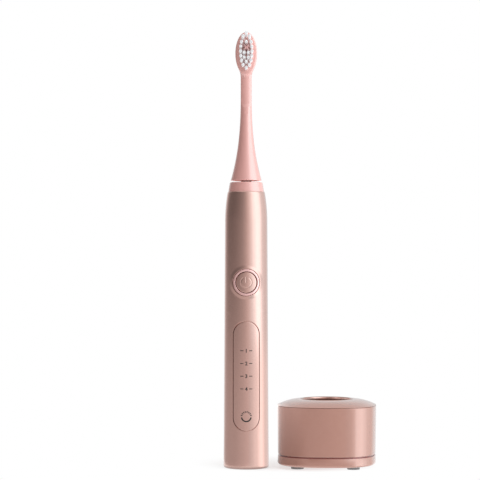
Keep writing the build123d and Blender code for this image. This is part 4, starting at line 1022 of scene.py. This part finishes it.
def bundle(centres, lengths, radius, pitch):
    """Places of the strands of round tufts: a hexagonal lattice cut to a circle at each centre, with a
    small outward lean and uneven tips. The tufts at the top of the head lean upwards a millimetre."""
    row, column = np.mgrid[-6:7, -6:7]
    lattice = np.stack(((column + 0.5 * row).ravel(), (row * math.sqrt(0.75)).ravel()), -1) * pitch
    lattice = lattice[np.hypot(*lattice.T) <= radius]
    x = (centres[:, :1] + lattice[:, 0]).ravel()
    z = (centres[:, 1:] + lattice[:, 1]).ravel()
    lean = np.tile(lattice, (len(centres), 1)) * SPLAY + random.normal(0, STRAY, (len(x), 2))
    lean[:, 1] += np.repeat(TOP_LEAN * smooth_step((centres[:, 1] - HEAD_Z - 5) / 4), len(lattice))
    length = np.repeat(lengths, len(lattice)) * (1 - UNEVEN * random.random(len(x)))
    dome = TIP_DOME * (np.hypot(*np.tile(lattice, (len(centres), 1)).T) / radius) ** 2
    return x, z, length - dome, lean[:, 0], lean[:, 1]


# %% Tufts
OUTER_TUFTS, TUFT_R, TUFT_PITCH, TUFT_LENGTH, INNER_LENGTH = 16, 0.80, 0.235, 9.2, 8.6
OVAL_WIDE, OVAL_LONG, TUFT_LIFT = 3.15, 9.15, 0.5
walk = np.linspace(0, 2 * np.pi, 4001)
ring_x, ring_z = -OVAL_WIDE * np.sin(walk), OVAL_LONG * np.cos(walk)
run = np.r_[0, np.cumsum(np.hypot(np.diff(ring_x), np.diff(ring_z)))]
stops = np.linspace(0, run[-1], OUTER_TUFTS, endpoint=False)
outer_tufts = np.column_stack((np.interp(stops, run, ring_x), np.interp(stops, run, ring_z)))
inner_tufts = np.array([(0, 5.1), (-1.15, -0.7), (1.15, -0.7), (-1.15, -3.4), (1.15, -3.4), (0, -5.7)])
tuft_centres = np.vstack((outer_tufts, inner_tufts)) + (0, HEAD_Z + TUFT_LIFT)
tuft_lengths = np.r_[np.full(OUTER_TUFTS, TUFT_LENGTH), np.full(len(inner_tufts), INNER_LENGTH)]
tufts = strands(*bundle(tuft_centres, tuft_lengths, TUFT_R, TUFT_PITCH))
piece("tufts", [tufts], "head", ["bristle_tufts"], white_nylon)

# %% [markdown]
# ## The cross-shaped tuft
# Near the top of the head one tuft is pink and stands as a cross. Three rows of strands along each
# arm make it; the arms lie at forty-five degrees to the head's axis.

# %% Cross tuft
CROSS_Z, CROSS_PITCH, CROSS_START, ARM_STRANDS, CROSS_UNEVEN = HEAD_Z + 2.5, 0.21, 0.8, 8, 0.015
out_along = (np.arange(ARM_STRANDS) + CROSS_START) * CROSS_PITCH
along, across = np.meshgrid(out_along, np.array([-1, 0, 1]) * CROSS_PITCH)
arm = np.stack((along.ravel(), across.ravel()), -1)
arm_turn = np.radians([45, 135, 225, 315])
spin = np.stack((np.stack((np.cos(arm_turn), -np.sin(arm_turn)), -1),
                 np.stack((np.sin(arm_turn), np.cos(arm_turn)), -1)), 1)
cross = np.einsum("aij,sj->asi", spin, arm).reshape(-1, 2)
cross_length = INNER_LENGTH * (1 - CROSS_UNEVEN * random.random(len(cross)))
lean = random.normal(0, STRAY, cross.shape)
cross_rods = strands(cross[:, 0], CROSS_Z + cross[:, 1], cross_length, lean[:, 0], lean[:, 1])
piece("cross", [cross_rods], "head", ["cross_tuft"], pink_nylon)

# %% [markdown]
# ## The charger's outline
# Seen from above the charger is a square with bowed sides and very round corners: four wide arcs and
# four tight ones, each meeting its neighbour smoothly. If every point is named by the direction its
# outline faces, drawing the outline in by some amount only shortens the radius, so all its walls can
# be made from one function.

# %% Outline by facing direction
CHARGER_HALF, SIDE_R, CORNER_R = 27.7, 54.0, 20.0
SIDE_REACH = SIDE_R - CHARGER_HALF
CORNER_SPOT = (math.sqrt(2 * (SIDE_R - CORNER_R) ** 2 - SIDE_REACH**2) - SIDE_REACH) / 2
SIDE_ANGLE = math.atan2(CORNER_SPOT, CORNER_SPOT + SIDE_REACH)
CORNER_REACH = CORNER_SPOT * math.sqrt(2)


def outline(facing, inset):
    """Points where the outline, drawn in by an inset, faces the given angles: the arc's centre plus its
    shortened radius along the facing direction."""
    square = np.round(facing / (np.pi / 2)) * np.pi / 2
    off = facing - square
    on_side = np.abs(off) <= SIDE_ANGLE
    diagonal = square + np.where(off > 0, 1, -1) * np.pi / 4
    spot_x = np.where(on_side, -SIDE_REACH * np.cos(square), CORNER_REACH * np.cos(diagonal))
    spot_y = np.where(on_side, -SIDE_REACH * np.sin(square), CORNER_REACH * np.sin(diagonal))
    radius = np.where(on_side, SIDE_R, CORNER_R) - inset
    return spot_x + radius * np.cos(facing), spot_y + radius * np.sin(facing)


print("outline half width", outline(np.array([0.0]), 0.0)[0].round(2))

# %% Rows of the outline
BACK_HALF, BACK_SPAN, SIDE_SPAN = math.radians(10), 24, 340
back_facing = np.linspace(np.pi / 2 - BACK_HALF, np.pi / 2 + BACK_HALF, BACK_SPAN + 1)
side_facing = np.linspace(np.pi / 2 + BACK_HALF, 5 * np.pi / 2 - BACK_HALF, SIDE_SPAN + 1)
all_facing = np.concatenate((back_facing[:-1], side_facing[:-1]))


def walls(inset, z, facing, share=0.0, radius=0.0):
    """Rows of the outline: one inset and height for each row. A share above 0 moves the row from the
    outline towards a circle of the given radius, which is how the lid closes to the round well."""
    inset, z = np.asarray(inset, float)[:, None], np.asarray(z, float)[:, None]
    share, radius = np.reshape(share, (-1, 1)), np.reshape(radius, (-1, 1))
    x, y = outline(np.broadcast_to(facing, (len(inset), len(facing))), inset)
    x = x * (1 - share) + share * radius * np.cos(facing)
    y = y * (1 - share) + share * radius * np.sin(facing)
    return by_charger(np.stack((x, y, np.broadcast_to(z, x.shape)), -1))


print("points in a row of the outline", len(all_facing))

# %% [markdown]
# ## The charger's wall
# The wall leans out very slightly towards the top and has softened edges, which draw the fine light
# lines beside the two seams. At the back it has the hole of the power inlet, woven with the same
# loops as the windows of the handle.

# %% Wall
WALL_LOW, CREASE_Z, WALL_THICK, WALL_LEAN = 7.4, 34.3, 1.6, 0.45
LOW_ROUND, HIGH_ROUND = 0.35, 0.3
INLET_Z, INLET_ZONE, INLET_UP = 13.83, (9.4, 18.4), 14


def wall_inset(z, depth=0.0):
    """How far the wall lies inside the widest outline at a height, plus a depth into the wall."""
    return WALL_LEAN * (CREASE_Z - np.asarray(z, float)) / (CREASE_Z - WALL_LOW) + depth


def on_back(x, z, depth):
    """Points on the wall's back above the back view's (x, z): y = sqrt(r² - x²) less the reach of the
    side's centre."""
    radius = SIDE_R - wall_inset(z, depth)
    return by_charger(np.stack((x, np.sqrt(radius**2 - x**2) - SIDE_REACH, z), -1))


LOW_ROWS, HIGH_ROWS, EDGE_ROWS = 4, 24, 6
edge = quarter(EDGE_ROWS)
low_z = np.r_[WALL_LOW + LOW_ROUND * (1 - np.cos(edge)), np.linspace(8.0, INLET_ZONE[0], LOW_ROWS)]
low_in = wall_inset(low_z) + np.r_[LOW_ROUND * (1 - np.sin(edge)), np.zeros(LOW_ROWS)]
high_z = np.r_[np.linspace(INLET_ZONE[1], CREASE_Z - 0.4, HIGH_ROWS),
               CREASE_Z - HIGH_ROUND * (1 - np.sin(edge))]
high_in = wall_inset(high_z) + np.r_[np.zeros(HIGH_ROWS), HIGH_ROUND * (1 - np.cos(edge))]
inside_low, inside_high = np.array([INLET_ZONE[0], WALL_LOW]), np.array([CREASE_Z, INLET_ZONE[1]])
low_wall = np.concatenate((walls(wall_inset(inside_low, WALL_THICK), inside_low, all_facing),
                           walls(low_in, low_z, all_facing)))
high_wall = np.concatenate((walls(high_in, high_z, all_facing),
                            walls(wall_inset(inside_high, WALL_THICK), inside_high, all_facing)))
zone_z = np.linspace(*INLET_ZONE, INLET_UP + 1)
wall_blocks = [grid(low_wall, around=True), grid(high_wall, around=True)]
for depth in (0.0, WALL_THICK):
    wall_blocks.append(grid(walls(wall_inset(zone_z, depth), zone_z, side_facing)))
print("wall stretches", len(wall_blocks))

# %% Inlet hole


def inlet_rim(depth):
    """The rim of the inlet's zone at a depth in the wall."""
    return window_rim(
        lambda z: SIDE_R - wall_inset(z, depth), BACK_HALF, *INLET_ZONE, BACK_SPAN, INLET_UP)


outer_rim, inner_rim = inlet_rim(0.0), inlet_rim(WALL_THICK)
INLET_HALF, INLET_SPINE = 1.88, 2.84
inlet_size = INLET_HALF + np.array([0.0, 0.03, 0.1, 0.2, 0.5])
inlet_depth = np.array([0.2, 0.08, 0.02, 0.0, 0.0])[:, None]
inlet_x, inlet_z = slot_loops(outer_rim, INLET_Z, (INLET_SPINE, 0), inlet_size)
rim_x, rim_z = to_rim((inlet_x[-1], inlet_z[-1]), outer_rim, 6)
skin = np.concatenate((on_back(inlet_x, inlet_z, inlet_depth), on_back(rim_x, rim_z, 0.0)))
deep_x, deep_z = to_rim((inlet_x[0], inlet_z[0]), inner_rim, 4)
lining = np.concatenate((
    skin[:1],
    on_back(inlet_x[:1], inlet_z[:1], WALL_THICK),
    on_back(deep_x, deep_z, WALL_THICK)))
wall_blocks += [grid(skin, around=True), grid(lining, around=True)]
piece("charger_side", wall_blocks, "charger", ["charger_wall"], rose_charger)

# %% [markdown]
# ## The lid
# The lid rises from the outline to a circle round the well, as a very shallow dome. Its lower edge is
# drawn in by a tenth of a millimetre and softened, and the shadow under it, deepened by painted shade
# in the charger's finish, is the fine dark crease.

# %% Lid
LAND_Z, LAND_R, LID_HOLE_R, LID_THICK = 37.5, 14.9, 14.1, 1.8
LID_LOW, LID_OUT, LID_IN, LID_STEP, LID_ROUND, DOME_RISE = 31.5, 1.8, 3.4, 0.12, 0.35, 3.15
DOME_ROWS = 18
rise = np.linspace(0.02, 1, DOME_ROWS)
dome = CREASE_Z + HIGH_ROUND + DOME_RISE * (1 - (1 - rise) ** 2)
lid_inset = np.r_[LID_OUT, LID_OUT, LID_STEP + LID_ROUND * (1 - np.sin(edge)),
                  np.full(DOME_ROWS + 3, LID_STEP), LID_IN, LID_IN]
lid_share = np.r_[np.zeros(2 + EDGE_ROWS), rise, 1, 1, 1, 0, 0]
lid_circle = np.r_[np.zeros(2 + EDGE_ROWS), np.full(DOME_ROWS + 1, LAND_R),
                   LID_HOLE_R, LID_HOLE_R, 0, 0]
lid_z = np.r_[LID_LOW, CREASE_Z, CREASE_Z + HIGH_ROUND * (1 - np.cos(edge)), dome, LAND_Z, LAND_Z,
              LAND_Z - LID_THICK, CREASE_Z, LID_LOW]
lid = walls(lid_inset, lid_z, all_facing, lid_share, lid_circle)
piece("lid", [grid(lid, around=True, along=True)],
      "charger", ["charger_lid"], rose_charger)

# %% [markdown]
# ## The well
# The well is a polished cup whose lip rests on the lid and rolls over into the hole, almost flush
# with the dome. From the camera only its far wall shows, as a light band over a dark one; the dark band
# and the darker edge of the lip are painted shade in the well's finish.

# %% Well cup
well = soften(
    [(0, 20.5), (14.0, 20.5), (14.0, 37.5), (14.8, 37.5), (14.8, 37.76), (14.3, 38.0), (13.2, 38.0),
     (13.2, 22.0), (0, 22.0)],
    [0, 0.3, 0, 0.02, 0.1, 0.25, 0.85, 1.2, 0], 9)
piece("well", [lathe(well, by_charger, 220)], "charger", ["well_cup"], rose_well)

# %% [markdown]
# ## Base and feet
# Below the lower seam a plate closes the charger. It swells slightly towards the table and turns
# under with a larger round. Four screws sit in counterbores of its underside, cut here with a boolean
# because they cross no visible edge, and four grey rubber feet lift it off the table.

# %% Base plate
BASE_LOW, BASE_ROUND, SEAM_LOW, SEAM_ROUND, RIM_HIGH, PLATE_HIGH = 1.7, 1.2, 6.55, 0.3, 10.4, 3.7
BASE_IN, SWELL_IN, SEAM_IN, RIM_OUT, RIM_IN = 1.4, 0.2, 1.55, 2.25, 3.75
edge, lip = quarter(10), quarter(5)
base_inset = np.r_[BASE_IN, BASE_IN, SWELL_IN + BASE_ROUND * (1 - np.sin(edge)),
                   WALL_LEAN + SEAM_ROUND * (1 - np.cos(lip)), SEAM_IN, SEAM_IN,
                   RIM_OUT, RIM_OUT, RIM_IN, RIM_IN, RIM_IN]
base_z = np.r_[BASE_LOW, BASE_LOW, BASE_LOW + BASE_ROUND * (1 - np.cos(edge)),
               SEAM_LOW + SEAM_ROUND * np.sin(lip), SEAM_LOW + SEAM_ROUND, WALL_LOW, WALL_LOW,
               RIM_HIGH, RIM_HIGH, PLATE_HIGH, PLATE_HIGH]
base_share = np.r_[1, np.zeros(len(base_z) - 2), 1]
base = piece("base", [grid(walls(base_inset, base_z, all_facing, base_share), around=True)],
             "charger", ["charger_base"], rose_charger)

# %% Screw counterbores
SCREW_X, SCREW_Y = 23.29, 6.0


def at_four(section, columns, x, y, along):
    """A section turned about four axes, at plus and minus x and y from the charger's own, as blocks."""
    spots = [(side * x, end * y, 0.0) for side in (-1, 1) for end in (-1, 1)]
    solid = turned(section, columns)
    return [grid(by_charger(solid + spot), around=True, along=along) for spot in spots]


bore_section = np.array([(0.0, 1.2), (2.33, 1.2), (2.33, 3.1), (1.32, 3.1), (1.32, 12.0), (0.0, 12.0)])
cutter_mesh = bpy.data.meshes.new("bores")
weld(cutter_mesh, *join(at_four(bore_section, 40, SCREW_X, SCREW_Y, along=False)))
cutter = add_object("bores", cutter_mesh)
cut = base.modifiers.new("bores", "BOOLEAN")
cut.object = cutter
cut.operation = "DIFFERENCE"
cut.solver = "EXACT"
bpy.context.view_layer.update()
cut_mesh = bpy.data.meshes.new_from_object(base.evaluated_get(bpy.context.evaluated_depsgraph_get()))
base.modifiers.clear()
base.data = cut_mesh
bpy.data.objects.remove(cutter)
smooth(base.data)
print("base faces", len(base.data.polygons))

# %% Rubber feet
RUBBER_SPREAD = 15.46
foot = soften([(0, 0), (3.5, 0), (3.5, 2.5), (0, 2.5)], [0, 0.35, 0.1, 0])
feet = at_four(foot, 72, RUBBER_SPREAD, RUBBER_SPREAD, along=True)
piece("feet", feet, "charger", ["charger_feet"], grey_rubber)

# %% [markdown]
# ## The floor
# A plain pale floor carries the shadow. It is a small round table a tenth of a millimetre under the
# object. Its own glow lifts it to white where the light reaches it, and towards its rim it fades to
# plain white, so that it meets the white surroundings without a line, while the shadow under the
# object stays.

# %% Studio pieces


def staged(name, block, material):
    """An object of the studio, from a block in millimetres, that isn't part of the model."""
    mesh = bpy.data.meshes.new(name)
    points, quads = block
    mesh.from_pydata((points * 0.001).tolist(), [], quads.tolist())
    mesh.materials.append(material)
    thing = add_object(name, mesh)
    return thing


def fade_to(tree, value, low, high, other):
    """Mixes a material's shader into another one while a value goes from low to high."""
    surface = tree.nodes["Material Output"].inputs[0]
    fade = tree.nodes.new("ShaderNodeMixShader")
    share = spread_node(tree, value, low, high, 0.0, 1.0)
    link(tree, ramp_node(tree, share, [(0.0, 0.0), (1.0, 1.0)]), fade.inputs[0])
    link(tree, surface.links[0].from_socket, fade.inputs[1])
    link(tree, tree.nodes.new(other).outputs[0], fade.inputs[2])
    link(tree, fade.outputs[0], surface)


# %% Floor
TABLE_R, TABLE_SPOT, FADE = 60.0, np.array([-5.0, 20.0, -0.1]), (0.03, 0.058)
pale_floor = finish(
    "pale_floor", (0.46, 0.46, 0.46), (0.48, 0.48, 0.48), 30, (0.85, 0.95), Specular_IOR_Level=0.0,
    Emission_Color=(1, 1, 1, 1), Emission_Strength=0.60)
tree = pale_floor.node_tree
off_middle = tree.nodes.new("ShaderNodeVectorMath")
off_middle.operation = "DISTANCE"
off_middle.inputs[1].default_value = TABLE_SPOT * 0.001
link(tree, own_coords(tree), off_middle.inputs[0])
fade_to(tree, off_middle.outputs["Value"], *FADE, "ShaderNodeEmission")
reach = np.linspace(0.001, 1, 24) * TABLE_R
table = turned(np.column_stack((reach, np.zeros_like(reach))), 96) + TABLE_SPOT
staged("floor", grid(table, around=True), pale_floor)
print("floor", 2 * TABLE_R, "mm across")

# %% [markdown]
# ## The screen
# Satin metal shows its surroundings more than its own colour. On the real handle the left is dark,
# the front is a middle tone and one bright band runs down the right, strongest near the top. So a
# tall curved screen stands right round the pair. Its tone follows the compass angle, from a dark flag
# on the left to a glowing window on the right, and it is more even low down. The flag is a little
# warm and the window a little cool, as daylight is. The screen lights and mirrors, but the camera
# looks through it.

# %% Tones of the screen
HIGH_TONES = (
    (-180, 0.74), (-160, 0.80), (-146, 0.72), (-125, 0.30), (-105, 0.18), (-80, 0.17), (-60, 0.19),
    (-42, 0.24), (-25, 0.31), (-8, 0.46), (8, 0.75), (24, 1.18), (40, 1.70), (58, 1.88), (76, 1.75),
    (98, 0.98), (130, 0.84), (180, 0.74),
)
LOW_TONES = (
    (-180, 0.90), (-155, 0.75), (-125, 0.50), (-64, 0.54), (-20, 0.63), (0, 0.67), (21, 0.70),
    (37, 0.75), (48, 1.05), (57, 1.95), (76, 2.10), (90, 1.60), (104, 1.05), (122, 0.80), (180, 0.90),
)
NEUTRAL, WARM, COOL = (1.0, 1.0, 1.0), (1.06, 0.975, 0.95), (0.95, 1.03, 1.06)
TINTS = (
    (-180, NEUTRAL), (-130, WARM), (5, WARM), (35, COOL), (95, COOL), (125, NEUTRAL), (180, NEUTRAL),
)
print("screen tones", len(HIGH_TONES) + len(LOW_TONES))

# %% Glowing materials


def math_node(tree, operation, *values):
    """A Math node whose inputs are numbers or sockets; returns its result."""
    node = tree.nodes.new("ShaderNodeMath")
    node.operation = operation
    for slot, value in zip(node.inputs, values):
        if isinstance(value, (int, float)):
            slot.default_value = value
        else:
            link(tree, value, slot)
    return node.outputs[0]


def glow(name):
    """A material that only glows; returns it with its tree, its glow's two sockets and its place."""
    material = bpy.data.materials.new(name)
    material.use_nodes = True
    tree = material.node_tree
    tree.nodes.clear()
    lamp = tree.nodes.new("ShaderNodeEmission")
    link(tree, lamp.outputs[0], tree.nodes.new("ShaderNodeOutputMaterial").inputs[0])
    return material, tree, lamp.inputs, own_place(tree)


# %% Screen round the pair
SCREEN_R, SCREEN_LOW, SCREEN_HIGH = 1300, -800, 2000
EVEN_BELOW, FULL_ABOVE, EASE = -0.03, 0.13, 0.1
screen_glow, tree, lit, place = glow("screen")
compass = math_node(tree, "ARCTAN2", place[0], math_node(tree, "MULTIPLY", place[1], -1.0))
share = math_node(tree, "MULTIPLY_ADD", compass, 0.5 / math.pi, 0.5)
height = spread_node(tree, place[2], EVEN_BELOW, FULL_ABOVE, 0.0, 1.0)
height = math_node(tree, "SMOOTH_MAX", 0.0, height, EASE)
height = math_node(tree, "SMOOTH_MIN", 1.0, height, EASE)
low, high, hue = [
    ramp_node(tree, share, [((angle + 180) / 360, tone) for angle, tone in tones])
    for tones in (LOW_TONES, HIGH_TONES, TINTS)]
blend = tree.nodes.new("ShaderNodeMix")
blend.data_type = "RGBA"
for socket, source in ((0, height), (6, low), (7, high)):
    link(tree, source, blend.inputs[socket])
link(tree, multiply_node(tree, blend.outputs[2], hue), lit["Color"])
screen_turn = np.radians(np.linspace(-180, 180, 145))
screen_z = np.linspace(SCREEN_LOW, SCREEN_HIGH, 15)[:, None]
screen = staged("screen", grid(circles(SCREEN_R, screen_z, screen_turn)), screen_glow)
screen.visible_camera = False
print("screen", 2 * SCREEN_R, "mm across")

# %% [markdown]
# ## Two cards
# The two things stand so close that each would mirror the other's dark side. A photographer slips a
# card between them. Here there are two, back to back, and they show in reflections only. The one
# towards the handle is pale. The one towards the charger is darker and a little warm, grows brighter
# upwards, and takes on the tone of the screen at its front. Both fade away at the top.

# %% Cards between brush and charger
CARD_FRONT, CARD_BACK, CARD_HIGH, CARD_RISE = -60, 40, 85, 0.04
CARDS = {
    "handle_card": {
        "x": -15.3, "tint": NEUTRAL, "gain": (1.0, 1.0), "fade": (0.050, 0.085),
        "tones": ((-60, 0.72), (-40, 0.85), (-25, 1.08), (-17, 1.55), (-11, 0.98), (-5, 0.88),
                  (40, 0.95))},
    "charger_card": {
        "x": -14.9, "tint": WARM, "gain": (0.46, 1.75), "fade": (0.034, 0.046),
        "tones": ((-60, 0.58), (-30, 0.54), (-15, 0.54), (-5, 0.60), (6, 0.85), (40, 0.90))},
}
for name, card in CARDS.items():
    card_glow, tree, lit, place = glow(name)
    along = spread_node(tree, place[1], CARD_FRONT * 0.001, CARD_BACK * 0.001, 0.0, 1.0)
    stops = [((y - CARD_FRONT) / (CARD_BACK - CARD_FRONT), tuple(grey * np.array(card["tint"])))
             for y, grey in card["tones"]]
    link(tree, ramp_node(tree, along, stops), lit["Color"])
    rise = spread_node(tree, place[2], 0.0, CARD_RISE, *card["gain"])
    front = spread_node(tree, place[1], CARD_FRONT * 0.001, CARD_FRONT * 0.0005, 1.0, 0.0)
    level = math_node(tree, "MULTIPLY_ADD", front, math_node(tree, "SUBTRACT", 1.0, rise), rise)
    link(tree, level, lit["Strength"])
    fade_to(tree, place[2], *card["fade"], "ShaderNodeBsdfTransparent")
    card_y, card_z = np.meshgrid(np.linspace(CARD_FRONT, CARD_BACK, 6), np.linspace(0, CARD_HIGH, 4))
    card_points = np.stack((np.full_like(card_y, card["x"]), card_y, card_z), -1)
    thing = staged(name, grid(card_points), card_glow)
    thing.visible_camera = thing.visible_diffuse = False
    thing.visible_shadow = thing.visible_transmission = False
print("cards", list(CARDS))

# %% [markdown]
# ## A window in the gloss
# Glossy plastic shows a window as a pale stripe with a crisp edge, where satin metal only smears it.
# So the two pink mouldings and the button's ring get a tall lamp of their own on the right. Light
# linking keeps it off every other piece, and with its diffuse light off it is only a reflection.

# %% Gloss lamp


def only(name, *pieces):
    """A collection of pieces by name, for a lamp that is linked to them alone."""
    group = bpy.data.collections.new(name)
    for one in pieces:
        group.objects.link(bpy.data.objects[one])
    print(name, pieces)
    return group


gloss_lamp = soft_lamp(
    "gloss_lamp", place=(0.876, -0.43, 0.55), aim=(-0.03, 0.0, 0.25), width=1.3, height=1.8, watts=4.5)
gloss_lamp.visible_diffuse = False
gloss_lamp.light_linking.receiver_collection = only("glossy_pieces", "head", "collar", "button_ring")

# %% [markdown]
# ## Light in the gap
# Below the skirt is a gap of about a millimetre, where the real moulding is as pale as its side.
# Hardly any light finds its way in there, so a small lamp under the brush lights the head alone,
# with only the head to cast a shadow. It reaches nothing but what faces down.

# %% Gap lamp
gap_spot = BRUSH * 0.001
gap_lamp = soft_lamp("gap_lamp", place=gap_spot + (0, 0, -0.3), aim=gap_spot + (0, 0, 0.2),
                     width=0.2, height=0.2, watts=1.5)
gap_lamp.visible_glossy = False
head_only = only("head_only", "head")
gap_lamp.light_linking.receiver_collection = head_only
gap_lamp.light_linking.blocker_collection = head_only

# %% [markdown]
# ## Finish
# The view transform is Standard, so colours come out as they are written.

# %% View transform
bpy.context.scene.view_settings.view_transform = "Standard"
bpy.context.view_layer.update()
